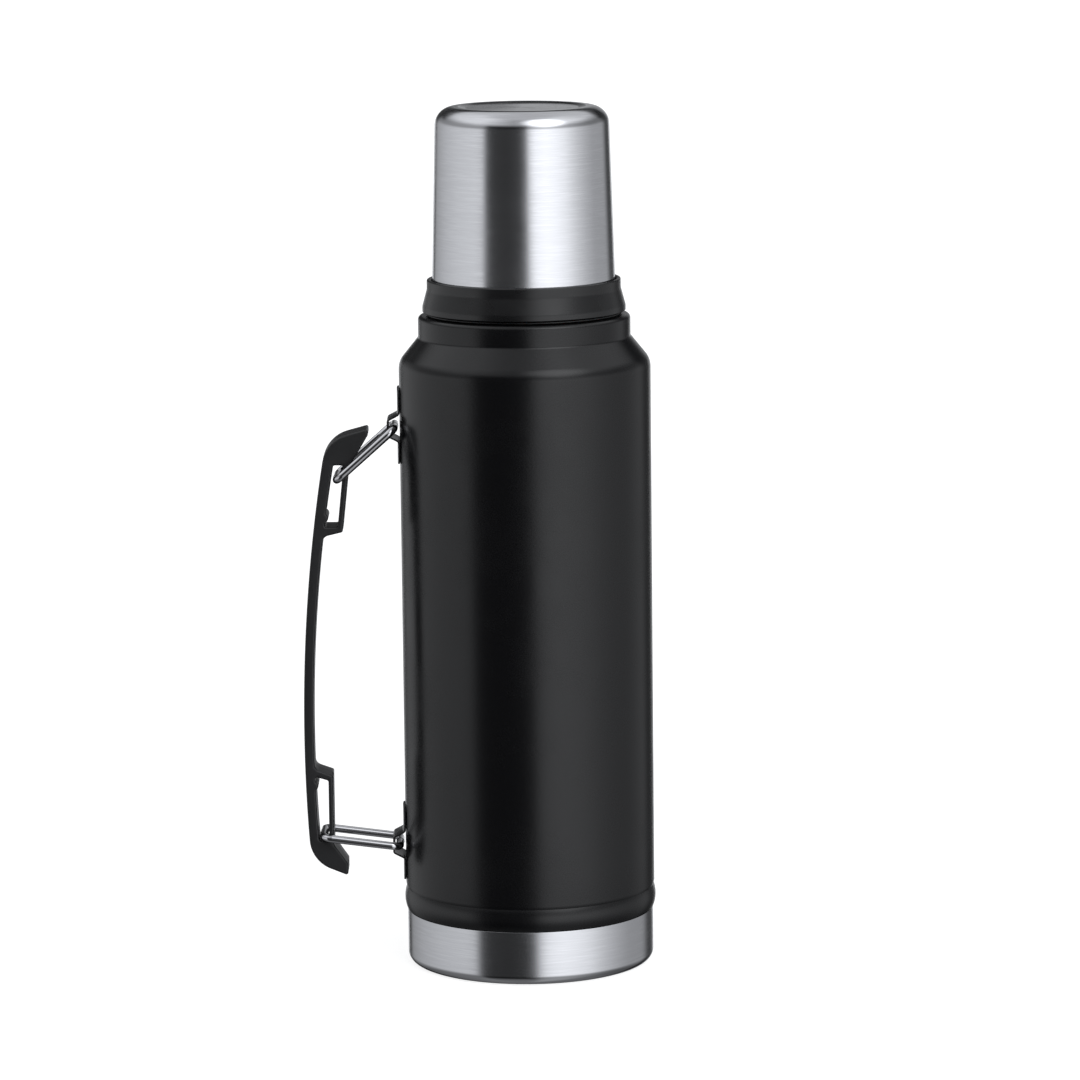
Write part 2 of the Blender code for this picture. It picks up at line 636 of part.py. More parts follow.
def build_stopper_cap(plastic):
    """The knob that closes the stopper. Its flutes give the fingers a grip."""
    top_z = STOPPER_KNOB_Z + STOPPER_KNOB_HEIGHT
    outline = rounded([
        (0, STOPPER_KNOB_Z, 0),
        (STOPPER_FLANGE_RADIUS, STOPPER_KNOB_Z, STOPPER_KNOB_FOOT_ROUND),
        (STOPPER_KNOB_RADIUS, top_z, STOPPER_KNOB_ROUND),
        (0, top_z, 0),
    ])
    cap = turned("stopper_cap", outline, plastic, on_axis=True)
    shape = bmesh.new()
    for i in range(STOPPER_FLUTES):
        turn = math.tau * i / STOPPER_FLUTES
        reach = STOPPER_KNOB_RADIUS - STOPPER_FLUTE_DEPTH + STOPPER_FLUTE_RADIUS
        made = bmesh.ops.create_cone(
            shape, cap_ends=True, segments=STOPPER_FLUTE_SIDES, radius1=STOPPER_FLUTE_RADIUS,
            radius2=STOPPER_FLUTE_RADIUS, depth=2 * STOPPER_KNOB_HEIGHT,
        )
        middle = (reach * math.cos(turn), reach * math.sin(turn), top_z)
        bmesh.ops.translate(shape, vec=middle, verts=made["verts"])
    combine(cap, add_mesh("cap_flutes", shape, plastic), "DIFFERENCE")
    return cap


def build_stopper_foam(foam):
    low = STOPPER_BOTTOM_Z + STOPPER_WALL + FIT_GAP
    high = STOPPER_KNOB_Z - FIT_GAP
    radius = O_RING_CENTRE_RADIUS - O_RING_RADIUS - STOPPER_WALL - 2 * FIT_GAP
    outline = [(0, low), (radius, low), (radius, high), (0, high)]
    return turned("stopper_foam", outline, foam, on_axis=True)


def build_stopper_seal(silicone):
    """The flat washer between the stopper's flange and the vessel's lip."""
    low = LIP_TOP_Z + FIT_GAP
    inner = STOPPER_CORE_RADIUS + FIT_GAP
    high = low + SEAL_RING_HEIGHT
    outline = [(inner, low), (NECK_RADIUS, low), (NECK_RADIUS, high), (inner, high)]
    return turned("stopper_seal", outline, silicone)


def build_o_ring(silicone):
    circle = arc((O_RING_CENTRE_RADIUS, O_RING_Z), O_RING_RADIUS, 0, 360, 8)[:-1]
    return turned("stopper_o_ring", circle, silicone)


# ---- Brackets, links and handle -----------------------------------------------------------------


def build_bracket(name, pivot_z, paint):
    """A plate curved to the shell, with a strap raised over the link's inner bar."""
    middle = pivot_z + BRACKET_RISE
    low = BRACKET_STAND_OFF
    high = low + BRACKET_PLATE
    strap = WIRE_SHELL_GAP + 2 * WIRE_RADIUS + WIRE_RUN_CLEARANCE
    foot = BRACKET_STRAP_FOOT / 2
    flat = BRACKET_STRAP_FLAT / 2
    end = BRACKET_HEIGHT / 2
    outer = [
        (high, middle + end), (high, pivot_z + foot), (strap + BRACKET_STRAP, pivot_z + flat),
        (strap + BRACKET_STRAP, pivot_z - flat), (high, pivot_z - foot), (high, middle - end),
    ]
    inner = [
        (low, middle - end), (low, pivot_z - foot + BRACKET_STRAP), (strap, pivot_z - flat + BRACKET_STRAP),
        (strap, pivot_z + flat - BRACKET_STRAP), (low, pivot_z + foot - BRACKET_STRAP), (low, middle + end),
    ]
    sections = []
    for i in range(BRACKET_STEPS + 1):
        y = BRACKET_WIDTH * (i / BRACKET_STEPS - 0.5)
        drop = BODY_RADIUS - math.sqrt(BODY_RADIUS**2 - y**2)
        sections.append([
            (-BODY_RADIUS - off + (0 if off >= strap else drop), y, z) for off, z in outer + inner
        ])
    return add_mesh(name, lofted(sections), paint)


def build_link(name, pivot_z, angle, steel):
    """A closed loop of wire, hung by its inner bar. Its origin is on that bar's axis."""
    half = LINK_WIDTH / 2
    loop = rounded([
        (0, -half, LINK_BEND), (0, half, LINK_BEND),
        (-LINK_LENGTH, half, LINK_BEND), (-LINK_LENGTH, -half, LINK_BEND),
    ], closed=True, steps=4)
    curve = bpy.data.curves.new(name, "CURVE")
    curve.dimensions = "3D"
    curve.bevel_depth = WIRE_RADIUS
    curve.bevel_resolution = 2
    spline = curve.splines.new("POLY")
    spline.points.add(len(loop) - 1)
    for point, (x, y) in zip(spline.points, loop):
        point.co = (x, y, 0, 1)
    spline.use_cyclic_u = True
    link = add_object(name, curve, steel, (PIVOT_X, 0, pivot_z))
    link.rotation_euler.y = math.radians(angle)
    return link


def arc_x(centre, radius, z):
    """Where an arc that bows out towards -X stands at height z."""
    return centre[0] - math.sqrt(radius**2 - (z - centre[1]) ** 2)


def inner_x(z):
    """The side of the grip's band that faces the flask. It runs past both bars."""
    return arc_x(GRIP_CENTRE, GRIP_INNER_ARC, z)


def outer_x(z):
    """The other side of the band, which is thinnest where the grip bows out furthest."""
    shift = GRIP_OUTER_ARC - GRIP_INNER_ARC - GRIP_THICKNESS
    return arc_x((GRIP_CENTRE[0] + shift, GRIP_CENTRE[1]), GRIP_OUTER_ARC, z)


def strip_x(z):
    """The slot side of the leaning strip that closes the upper slot."""
    side = UPPER_BAR[0] + WIRE_RADIUS + UPPER_SLOT_CLEARANCE
    return side + UPPER_STRIP_LEAN * (z - UPPER_BAR[1])


def along(side, z_from, z_to, steps):
    """Points of one side of the band, for an outline."""
    heights = [z_from + (z_to - z_from) * i / steps for i in range(steps + 1)]
    return [(side(z), z, 0) for z in heights]


def catch(z):
    """The low bump on the band that the wire snaps past, as three outline corners."""
    half = SLOT_CATCH_HEIGHT / 2
    return [(inner_x(z - half), z - half, 0), (inner_x(z) + SLOT_CATCH, z, HANDLE_EDGE),
            (inner_x(z + half), z + half, 0)]


def upper_slot():
    top = UPPER_BAR[1] + UPPER_SLOT_HEADROOM
    base = top - SLOT_LENGTH
    corner = SLOT_CORNER
    return rounded([
        (inner_x(top), top, corner), (strip_x(top), top, corner),
        (strip_x(base), base, corner), (inner_x(base), base, corner),
        *catch(base + SLOT_CATCH_OFFSET),
        *along(inner_x, base + 3 * SLOT_CATCH_OFFSET, top - 3 * corner, 4),
    ], closed=True)


def lower_slot():
    floor = LOWER_BAR[1] - WIRE_RADIUS - LOWER_SLOT_CLEARANCE
    strip = LOWER_BAR[0] + WIRE_RADIUS + LOWER_SLOT_CLEARANCE
    roof = floor + SLOT_LENGTH + SLOT_ROOF_FALL
    corner = SLOT_CORNER
    return rounded([
        (strip, floor, 2 * corner), (strip, roof - SLOT_ROOF_FALL, corner),
        (inner_x(roof), roof, corner),
        *catch(roof - SLOT_CATCH_OFFSET)[::-1],
        *along(inner_x, roof - 3 * SLOT_CATCH_OFFSET, floor + 4 * corner, 4),
        (inner_x(floor), floor, 2 * corner),
    ], closed=True)


def handle_outline():
    """The moulding's outside seen from its flat face: band, cheek, hook, strips and bridges."""
    tip_x = UPPER_BAR[0] + UPPER_TIP_REACH
    tip_z = UPPER_BAR[1] + UPPER_TIP_RISE
    shoulder = tip_z - UPPER_TIP_SLOPE * (tip_x - outer_x(tip_z))
    hook_x = LOWER_BAR[0] + HOOK_REACH
    hook_z = LOWER_BAR[1] - HOOK_DROP
    heel = hook_z + HOOK_SLOPE * (hook_x - outer_x(hook_z))
    lower_back = LOWER_BAR[0] + WIRE_RADIUS + LOWER_SLOT_CLEARANCE + LOWER_STRIP
    floor = LOWER_BAR[1] - WIRE_RADIUS - LOWER_SLOT_CLEARANCE
    lower_bridge = floor + SLOT_LENGTH + BRIDGE
    slot_top = UPPER_BAR[1] + UPPER_SLOT_HEADROOM
    upper_bridge = slot_top - SLOT_LENGTH - BRIDGE
    bridge_root = upper_bridge - BRIDGE_FALL
    edge = TIP_ROUND
    return rounded([
        (tip_x, tip_z, edge),
        (outer_x(shoulder), shoulder, HANDLE_CORNER),
        *along(outer_x, shoulder - HANDLE_CORNER, heel + HANDLE_CORNER, 12),
        (outer_x(heel), heel, HANDLE_CORNER),
        (hook_x, hook_z, edge),
        (hook_x, hook_z + HOOK_FACE, edge),
        (lower_back, LOWER_BAR[1] - HOOK_THROAT, 3 * edge),
        (lower_back, lower_bridge, edge),
        (inner_x(lower_bridge + SLOT_ROOF_FALL), lower_bridge + SLOT_ROOF_FALL + BRIDGE / 2, BRIDGE_ROUND),
        *along(inner_x, lower_bridge + 3 * BRIDGE, bridge_root - 2 * BRIDGE_ROUND, 10),
        (inner_x(bridge_root), bridge_root, BRIDGE_ROUND),
        (strip_x(upper_bridge) + UPPER_STRIP, upper_bridge, edge),
        (strip_x(slot_top) + UPPER_STRIP, slot_top - CHEEK_DROP, 3 * edge),
        (tip_x, tip_z - UPPER_TIP_FACE, edge),
    ], closed=True)


def build_handle(plastic):
    """The moulded handle. Its origin is on the lower link's outer bar, which it turns about."""
    shape = bmesh.new()
    for outline in (handle_outline(), upper_slot(), lower_slot()):
        verts = [
            shape.verts.new((x - LOWER_BAR[0], -HANDLE_WIDTH / 2, z - LOWER_BAR[1])) for x, z in outline
        ]
        for a, b in zip(verts, verts[1:] + verts[:1]):
            shape.edges.new((a, b))
    bmesh.ops.triangle_fill(shape, edges=shape.edges[:], use_beauty=True)
    made = bmesh.ops.extrude_face_region(shape, geom=shape.faces[:])["geom"]
    far = [item for item in made if isinstance(item, bmesh.types.BMVert)]
    bmesh.ops.translate(shape, vec=(0, HANDLE_WIDTH, 0), verts=far)
    bmesh.ops.recalc_face_normals(shape, faces=shape.faces)
    rim = [edge for edge in shape.edges if edge.calc_face_angle(0) > math.radians(RIM_ANGLE)]
    bmesh.ops.bevel(
        shape, geom=rim, offset=HANDLE_EDGE, segments=2, profile=0.5, affect="EDGES",
        clamp_overlap=True,
    )
    return add_mesh("handle", shape, plastic, (LOWER_BAR[0], 0, LOWER_BAR[1]))


def main():
    clear_scene()
    paint = finish("black_powder_coat", (0.03, 0.03, 0.032), 0.6, 0)
    steel = finish("brushed_steel", (0.62, 0.62, 0.63), 0.32, 1)
    wire = finish("polished_steel", (0.75, 0.75, 0.76), 0.12, 1)
    plastic = finish("black_plastic", (0.02, 0.02, 0.021), 0.45, 0)
    pale_plastic = finish("grey_plastic", (0.3, 0.3, 0.31), 0.4, 0)
    silicone = finish("silicone", (0.8, 0.8, 0.78), 0.5, 0)
    copper = finish("copper_foil", (0.8, 0.45, 0.3), 0.3, 1)
    solder = finish("grey_metal", (0.45, 0.45, 0.46), 0.5, 1)
    foam = finish("white_foam", (0.9, 0.88, 0.82), 0.9, 0)
    build_outer_shell(paint)
    build_base_cup(steel)
    build_outer_bottom(steel)
    build_vacuum_seal(solder)
    build_getter(solder)
    build_inner_liner(steel)
    build_liner_foil(copper)
    build_collar_gasket(silicone)
    build_neck_collar(plastic)
    build_cup_shell(steel)
    build_cup_liner(pale_plastic)
    build_stopper_body(plastic)
    build_stopper_cap(plastic)
    build_stopper_foam(foam)
    build_stopper_seal(silicone)
    build_o_ring(silicone)
    build_bracket("upper_bracket", UPPER_PIVOT_Z, paint)
    build_bracket("lower_bracket", LOWER_PIVOT_Z, paint)
    build_link("upper_link", UPPER_PIVOT_Z, UPPER_LINK_REST, wire)
    build_link("lower_link", LOWER_PIVOT_Z, LOWER_LINK_REST, wire)
    build_handle(plastic)


main()
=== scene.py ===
"""The finish of a double-wall vacuum flask with a screw-on cup and a wire-hung handle.

Every piece is made afresh, finely, round the flask's frame, and rides on the frame's bodies.
Metres, +Z up, the handle on the -X side. Run it as a script: main() calls an operator for the
stage, one for the shared effects and one for each piece or group of pieces.
"""

import json
import math

import bmesh
import bpy
from bpy.props import FloatProperty, FloatVectorProperty, IntProperty, PointerProperty
from mathutils import Matrix, Vector, noise


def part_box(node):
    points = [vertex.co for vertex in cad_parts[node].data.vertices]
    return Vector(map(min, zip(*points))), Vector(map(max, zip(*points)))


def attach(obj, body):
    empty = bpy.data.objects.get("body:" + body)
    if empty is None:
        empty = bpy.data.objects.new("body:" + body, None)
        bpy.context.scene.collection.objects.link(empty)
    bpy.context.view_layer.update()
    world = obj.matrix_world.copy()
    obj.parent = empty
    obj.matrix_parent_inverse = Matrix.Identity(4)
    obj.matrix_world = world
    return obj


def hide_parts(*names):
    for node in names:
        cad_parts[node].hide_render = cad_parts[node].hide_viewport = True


bl_info = {
    "name": "Vacuum Flask Finish",
    "version": (1, 0, 0),
    "blender": (4, 5, 0),
    "location": "3D View > Sidebar > Flask",
    "description": "Makes the fine pieces and finishes of a vacuum flask round its frame",
    "category": "Object",
}

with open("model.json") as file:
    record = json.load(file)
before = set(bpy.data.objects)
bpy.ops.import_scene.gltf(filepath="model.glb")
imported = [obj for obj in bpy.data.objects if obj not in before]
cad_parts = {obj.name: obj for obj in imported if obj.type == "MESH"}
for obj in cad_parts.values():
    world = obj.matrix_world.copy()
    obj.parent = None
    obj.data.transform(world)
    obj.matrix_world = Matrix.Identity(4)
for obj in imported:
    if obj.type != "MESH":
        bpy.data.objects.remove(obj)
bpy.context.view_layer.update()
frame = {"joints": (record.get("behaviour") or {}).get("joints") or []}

MM = 0.001
FIT_GAP = 0.3 * MM  # between two pieces that touch
ON_AXIS = 0.001 * MM
SHARP_ANGLE = 32  # degrees between faces that don't shade as one surface
NEARLY_STRAIGHT = 89.9  # degrees: half of a corner too flat to round
BEVEL_STEPS = 3
BEVEL_ANGLE = 50  # degrees between faces whose edge is bevelled
BODY_AXIS_SIDES = 192  # faces round a turned piece
KNOB_SIDES = 288  # round the knob, for its flutes
SMALL_SIDES = 64  # and round a piece a few millimetres across
THREAD_ROOT = 0.3 * MM  # how deep a thread's root lies in its wall
THREAD_PROFILE = ((0, 1), (0.8, 0.55), (1, 0.3))  # shares of its depth and of its half height
THREAD_SWELL = 6  # a rib swells and fades over one part in this many of its length
THREAD_LEAD = 0.05  # how far it has swelled at its very end
THREAD_LEAST = 0.02  # the share of its depth that it keeps there
WELD_GAP = 0.2 * MM  # between a bracket's plate and the shell
O_RING_PROUD = 1.6 * MM  # how far the O-ring stands out from the plug
NOISE_SPREAD = (0.3, 0.7)  # between these lies most of a noise's value
# The middle colour is a painted sheen: a paler coat that the coat's outer edges take as their
# highlight.
COAT_DUST, COAT_SHEEN, PLASTIC_DUST = (0.1, 0.1, 0.1), (0.06, 0.06, 0.06), (0.2, 0.2, 0.2)
MIX_FAC, MIX_FIRST, MIX_SECOND, MIX_RESULT = 0, 6, 7, 2  # the colour sockets of a Mix node


# ---- Measures of the frame ----------------------------------------------------------------------


def radius(node):
    """The widest radius of a turned node."""
    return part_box(node)[1].y


def top(node):
    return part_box(node)[1].z


def bottom(node):
    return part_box(node)[0].z


def joint_place(name):
    """Where a joint's axis crosses the flask's middle plane."""
    found = next(joint for joint in frame["joints"] if joint["name"] == name)
    return Vector(found["pos_m"])


def link_length():
    """From a link's bar in its bracket to its bar in the handle."""
    return (joint_place("handle_turn") - joint_place("lower_link_swing")).length


# ---- Sizes and colours that a user would change -------------------------------------------------


def size(name, description, default):
    return FloatProperty(
        name=name, description=description, default=default, min=0, precision=5, unit="LENGTH",
    )


def colour(name, description, default):
    return FloatVectorProperty(
        name=name, description=description, default=default, size=3, min=0, max=1, subtype="COLOR",
    )


def amount(name, description, default, most=1.0):
    return FloatProperty(name=name, description=description, default=default, min=0, max=most)


class FlaskBodySizes(bpy.types.PropertyGroup):
    """The painted shell and the steel base cup."""

    shell_wall: size("Shell wall", "Thickness of the painted shell", 0.5 * MM)
    bead_step: size("Bead step", "How far the bead at the foot stands out", 0.44 * MM)
    bead_height: size("Bead height", "Height of the rolled bead", 7.8 * MM)
    bead_round: size("Bead round", "Radius of the bead's section", 10.3 * MM)
    bead_run_out: size("Bead run-out", "Height over which the bead fades into the body", 1.2 * MM)
    shoulder_round: size("Shoulder round", "Radius where the body turns into the cone", 7 * MM)
    ring_overhang: size("Ring overhang", "How far the ring stands out from the gasket", 3 * MM)
    ring_height: size("Ring height", "Height of the ring that carries the collar", 7.63 * MM)
    ring_round: size("Ring round", "Radius of the ring's edges", 1.5 * MM)
    base_wall: size("Base wall", "Thickness of the base cup", 0.5 * MM)
    base_round: size("Base round", "Radius of the base cup's lower edge", 3.5 * MM)
    groove_depth: size("Groove depth", "Depth of the groove pressed in the underside", 1.2 * MM)
    groove_inner: size("Groove inner radius", "Where the groove starts", 25 * MM)
    groove_outer: size("Groove outer radius", "Where the groove ends", 34 * MM)
    cone_slope: amount("Cone slope", "How far the cone runs in for each length it rises", 0.807, 4)


class FlaskCollarSizes(bpy.types.PropertyGroup):
    """The collar round the neck, and its thread."""

    flare: size("Flare", "How far the collar's foot stands out", 1.66 * MM)
    height: size("Height", "Height of the collar's skirt", 11.4 * MM)
    land: size("Land", "Width of the lip round the cup's groove", 1.5 * MM)
    foot_round: size("Foot round", "Radius of the collar's lower edge", 0.35 * MM)
    flare_round: size("Flare round", "Radius where the flare starts and ends", 4 * MM)
    sleeve_wall: size("Sleeve wall", "Thickness of the threaded sleeve", 3 * MM)
    thread_depth: size("Thread depth", "How far the rib stands out", 0.9 * MM)
    thread_height: size("Thread height", "Height of the rib at its root", 2 * MM)
    thread_pitch: size("Thread pitch", "Rise of the rib in one turn", 5 * MM)
    thread_turns: amount("Thread turns", "How many times the rib runs round", 1.5, 6)


class FlaskCupSizes(bpy.types.PropertyGroup):
    """The steel cup and the plastic one inside it."""

    wall: size("Wall", "Thickness of the steel", 0.5 * MM)
    liner_wall: size("Liner wall", "Thickness of the plastic cup", 1.2 * MM)
    taper: size("Taper", "How much narrower the top is than the rim", 1.85 * MM)
    corner_round: size("Corner round", "Radius of the top edge", 6.6 * MM)
    dish_radius: size("Dish radius", "Radius of the dish in the top", 22.5 * MM)
    dish_depth: size("Dish depth", "Depth of the dish", 0.5 * MM)


class FlaskStopperSizes(bpy.types.PropertyGroup):
    """The screw stopper."""

    wall: size("Wall", "Thickness of the stopper's wall", 2 * MM)
    flange_height: size("Flange height", "Thickness of the flange", 3 * MM)
    knob_round: size("Knob round", "Radius of the knob's top edge", 3 * MM)
    flute_depth: size("Flute depth", "Depth of the finger flutes", 1.3 * MM)
    flutes: IntProperty(
        name="Flutes", description="Finger flutes round the knob", default=12, min=3,
    )
    slot_width: size("Pour slot width", "Width of each pouring channel", 7 * MM)
    slot_height: size("Pour slot height", "Length of each pouring channel", 30 * MM)
    slot_depth: size("Pour slot depth", "Depth of each pouring channel", 1.2 * MM)


class FlaskLinkSizes(bpy.types.PropertyGroup):
    """The wire links and the brackets that hold them."""

    wire: size("Wire", "Diameter of the wire", 2.8 * MM)
    bend: size("Bend", "Radius of the wire's bends", 3 * MM)
    weld: size("Weld", "Height of the ridge where the wire's ends are welded", 0.1 * MM)
    shell_gap: size("Shell gap", "Gap between the wire and the shell", 0.5 * MM)
    run_gap: size("Running gap", "Gap between the wire and its strap", 0.4 * MM)
    plate: size("Plate", "Thickness of the bracket's sheet", 0.6 * MM)
    plate_corner: size("Plate corner", "Radius of the plate's corners", 2.6 * MM)
    strap: size("Strap", "Thickness of the sheet over the wire", 0.7 * MM)
    strap_flat: size("Strap flat", "Height of the strap's flat front", 5.8 * MM)
    strap_foot: size("Strap foot", "Height over which the strap rises", 10.2 * MM)
    upper_rest: FloatProperty(
        name="Upper rest angle", description="How far the upper link hangs from level",
        default=math.radians(-41.4), subtype="ANGLE",
    )
    lower_rest: FloatProperty(
        name="Lower rest angle", description="How far the lower link stands from level",
        default=math.radians(7.5), subtype="ANGLE",
    )


class FlaskHandleSizes(bpy.types.PropertyGroup):
    """The moulded handle."""

    edge: size("Edge", "Radius of the moulding's long edges", 0.65 * MM)
    parting: size("Parting line", "How far the mould's parting line stands out", 0.05 * MM)
    grip: size("Grip", "Thickness of the grip where it bows out furthest", 3.5 * MM)
    outer_arc: size("Outer arc", "Radius of the grip's outer side", 600 * MM)
    inner_arc: size("Inner arc", "Radius of the grip's inner side", 560 * MM)
    corner: size("Corner", "Radius of the two outer corners", 12 * MM)
    slot_length: size("Slot length", "Length of each slot", 22 * MM)
    bridge: size("Bridge", "Thickness of the slot's end wall", 1.9 * MM)
    upper_strip: size("Upper strip", "Thickness of the upper slot's wall", 2 * MM)
    lower_strip: size("Lower strip", "Thickness of the lower slot's wall", 1.8 * MM)
    catch: size("Catch", "How far the slot's catch stands out", 1 * MM)


class FlaskColours(bpy.types.PropertyGroup):
    """The colours of the finishes."""

    paint: colour("Paint", "Powder coat on the shell", (0.005, 0.005, 0.0057))
    steel: colour("Steel", "Brushed steel of the cup and base", (0.675, 0.68, 0.705))
    inner_steel: colour("Inner steel", "Drawn steel of the vessel", (0.58, 0.58, 0.59))
    wire: colour("Wire", "Polished steel of the links", (0.62, 0.62, 0.64))
    black_plastic: colour("Black plastic", "Collar, gasket and stopper", (0.0085, 0.0085, 0.0092))
    handle_plastic: colour("Handle plastic", "The handle", (0.011475, 0.011475, 0.01242))
    cup_plastic: colour("Cup plastic", "Liner of the cup", (0.3, 0.3, 0.31))
    silicone: colour("Silicone", "Gaskets and seals", (0.72, 0.72, 0.7))
    copper: colour("Copper", "Foil round the vessel", (0.8, 0.42, 0.26))
    solder: colour("Solder", "Getter and vacuum seal", (0.42, 0.42, 0.43))
    foam: colour("Foam", "Insulation in the stopper", (0.86, 0.83, 0.75))


class FlaskStageSettings(bpy.types.PropertyGroup):
    """The camera, the floor and the studio's light."""

    camera_distance: size("Camera distance", "From the flask's axis to the camera", 1.8086)
    camera_height: size("Camera height", "Height of the camera above the floor", 0.4446)
    floor_size: size("Floor size", "Side of the floor", 60)
    light: amount("Light", "Strength of the studio's walls", 1.54, 10)
    lamp: amount("Lamp", "Brightness of the soft lamp, front right and above", 1.1, 20)
    backdrop: amount("Backdrop", "Brightness of the backdrop behind the flask", 1.0, 10)


# ---- Outlines -----------------------------------------------------------------------------------


def arc(centre, round_radius, start, end, steps):
    """The points of a round stretch, both ends included. Angles are in degrees."""
    turns = [math.radians(start + (end - start) * i / steps) for i in range(steps + 1)]
    return [
        (centre[0] + round_radius * math.cos(t), centre[1] + round_radius * math.sin(t))
        for t in turns
    ]


def rounded_corner(before, corner, after, round_radius, steps):
    """The arc that rounds one corner, or the corner itself when the radius is 0."""
    here = Vector(corner)
    back = (Vector(before) - here).normalized()
    ahead = (Vector(after) - here).normalized()
    half = back.angle(ahead) / 2
    if round_radius == 0 or half > math.radians(NEARLY_STRAIGHT):
        return [tuple(here)]
    centre = here + (back + ahead).normalized() * round_radius / math.sin(half)
    first = here + back * round_radius / math.tan(half) - centre
    last = here + ahead * round_radius / math.tan(half) - centre
    sweep = math.pi - 2 * half
    side = 1 if first.x * last.y > first.y * last.x else -1
    start = math.atan2(first.y, first.x)
    turns = [start + side * sweep * i / steps for i in range(steps + 1)]
    return [
        (centre.x + round_radius * math.cos(t), centre.y + round_radius * math.sin(t))
        for t in turns
    ]


def rounded(corners, closed=False, steps=8):
    """A line through (x, z, radius) corners. An open line's two ends stay sharp."""
    line = []
    last = len(corners) - 1
    for i, (x, z, round_radius) in enumerate(corners):
        if not closed and i in (0, last):
            line.append((x, z))
            continue
        before = corners[i - 1][:2]
        after = corners[(i + 1) % len(corners)][:2]
        line += rounded_corner(before, (x, z), after, round_radius, steps)
    return line


def moved_line(line, distance, closed=False):
    """The line moved sideways, to the left of its run. An end on the axis stays on it."""
    points = [Vector(point) for point in line]
    count = len(points)
    moved = []
    for i, point in enumerate(points):
        before = points[i - 1] if closed or i > 0 else None
        after = points[(i + 1) % count] if closed or i < count - 1 else None
        runs = [(b - a).normalized() for a, b in ((before, point), (point, after)) if a and b]
        sides = [Vector((-run.y, run.x)) for run in runs]
        step = (sides[0] + sides[-1]) * distance / (1 + sides[0].dot(sides[-1]))
        if not closed and abs(point.x) < ON_AXIS:
            step.x = 0
        moved.append(tuple(point + step))
    return moved


def walled(line, thickness):
    """A closed outline: the line, and the same line one wall thickness to its left."""
    return line + moved_line(line, thickness)[::-1]


def divided(line, longest):
    """The line with points added, so that no run is longer than longest."""
    points = [line[0]]
    for a, b in zip(line, line[1:]):
        count = max(1, math.ceil(math.dist(a, b) / longest))
        points += [
            (a[0] + (b[0] - a[0]) * i / count, a[1] + (b[1] - a[1]) * i / count)
            for i in range(1, count + 1)
        ]
    return points


def smooth_step(value):
    """0 up to 0, 1 from 1, and a smooth rise between."""
    held = min(1, max(0, value))
    return held * held * (3 - 2 * held)


# ---- Pieces -------------------------------------------------------------------------------------

# Each piece's body, the node that it stands for, and its finish. A thread is part of the piece
# that it runs round, so it stands for no node of its own.
PIECES = {
    "painted_shell": ("flask", "outer_shell", "powder_coat"),
    "steel_base": ("flask", "base_cup", "brushed_steel"),
    "drinking_vessel": ("flask", "inner_liner", "inner_steel"),
    "bottom_disc": ("flask", "outer_bottom", "inner_steel"),
    "getter_pill": ("flask", "getter", "getter_metal"),
    "vent_solder": ("flask", "vacuum_seal", "getter_metal"),
    "vessel_foil": ("flask", "liner_foil", "copper_foil"),
    "collar_moulding": ("flask", "neck_collar", "collar_plastic"),
    "collar_thread": ("flask", None, "collar_plastic"),
    "collar_gasket_ring": ("flask", "collar_gasket", "dark_silicone"),
    "steel_cup": ("cup", "cup_shell", "brushed_steel"),
    "cup_lining": ("cup", "cup_liner", "cup_plastic"),
    "cup_thread": ("cup", None, "cup_plastic"),
    "stopper_plug": ("stopper", "stopper_body", "stopper_plastic"),
    "stopper_thread": ("stopper", None, "stopper_plastic"),
    "o_ring": ("stopper", "stopper_o_ring", "silicone"),
    "lip_washer": ("stopper", "stopper_seal", "silicone"),
    "foam_core": ("stopper", "stopper_foam", "foam"),
    "stopper_knob": ("stopper", "stopper_cap", "stopper_plastic"),
    "upper_strap": ("flask", "upper_bracket", "bracket_coat"),
    "lower_strap": ("flask", "lower_bracket", "bracket_coat"),
    "upper_wire": ("upper_link", "upper_link", "polished_wire"),
    "lower_wire": ("lower_link", "lower_link", "polished_wire"),
    "handle_moulding": ("handle", "handle", "handle_plastic"),
}


def add_piece(name, shape, place=None, bevel=0.0):
    """An object from a bmesh, shaded evenly, that rides on its body and stands for its node."""
    body, node, finish = PIECES[name]
    bmesh.ops.recalc_face_normals(shape, faces=shape.faces)
    mesh = bpy.data.meshes.new(name)
    shape.to_mesh(mesh)
    shape.free()
    mesh.materials.append(finish_named(finish))
    mesh.shade_smooth()
    mesh.set_sharp_from_angle(angle=math.radians(SHARP_ANGLE))
    piece = bpy.data.objects.new(name, mesh)
    bpy.context.scene.collection.objects.link(piece)
    if place is not None:
        piece.matrix_world = place
    if bevel:
        rim = piece.modifiers.new("rim", "BEVEL")
        rim.width = bevel
        rim.segments = BEVEL_STEPS
        rim.limit_method = "ANGLE"
        rim.angle_limit = math.radians(BEVEL_ANGLE)
    even = piece.modifiers.new("even_shading", "WEIGHTED_NORMAL")
    even.keep_sharp = True
    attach(piece, body)
    if node:
        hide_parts(node)


def turned(outline, sides=BODY_AXIS_SIDES, vary=None):
    """A bmesh of an (r, z) outline carried round the axis. vary(r, z, angle) may change r."""
    shape = bmesh.new()
    rings = []
    for r, z in outline:
        if r < ON_AXIS:
            rings.append([shape.verts.new((0, 0, z))])
            continue
        ring = []
        for k in range(sides):
            angle = math.tau * k / sides
            reach = vary(r, z, angle) if vary else r
            ring.append(shape.verts.new((reach * math.cos(angle), reach * math.sin(angle), z)))
        rings.append(ring)
    on_axis = len(rings[0]) == 1
    pairs = list(zip(rings, rings[1:])) + ([] if on_axis else [(rings[-1], rings[0])])
    for low, high in pairs:
        for k in range(sides):
            after = (k + 1) % sides
            corners = [ring[i % len(ring)] for ring, i in (
                (low, k), (low, after), (high, after), (high, k),
            )]
            shape.faces.new(list(dict.fromkeys(corners)))
    return shape


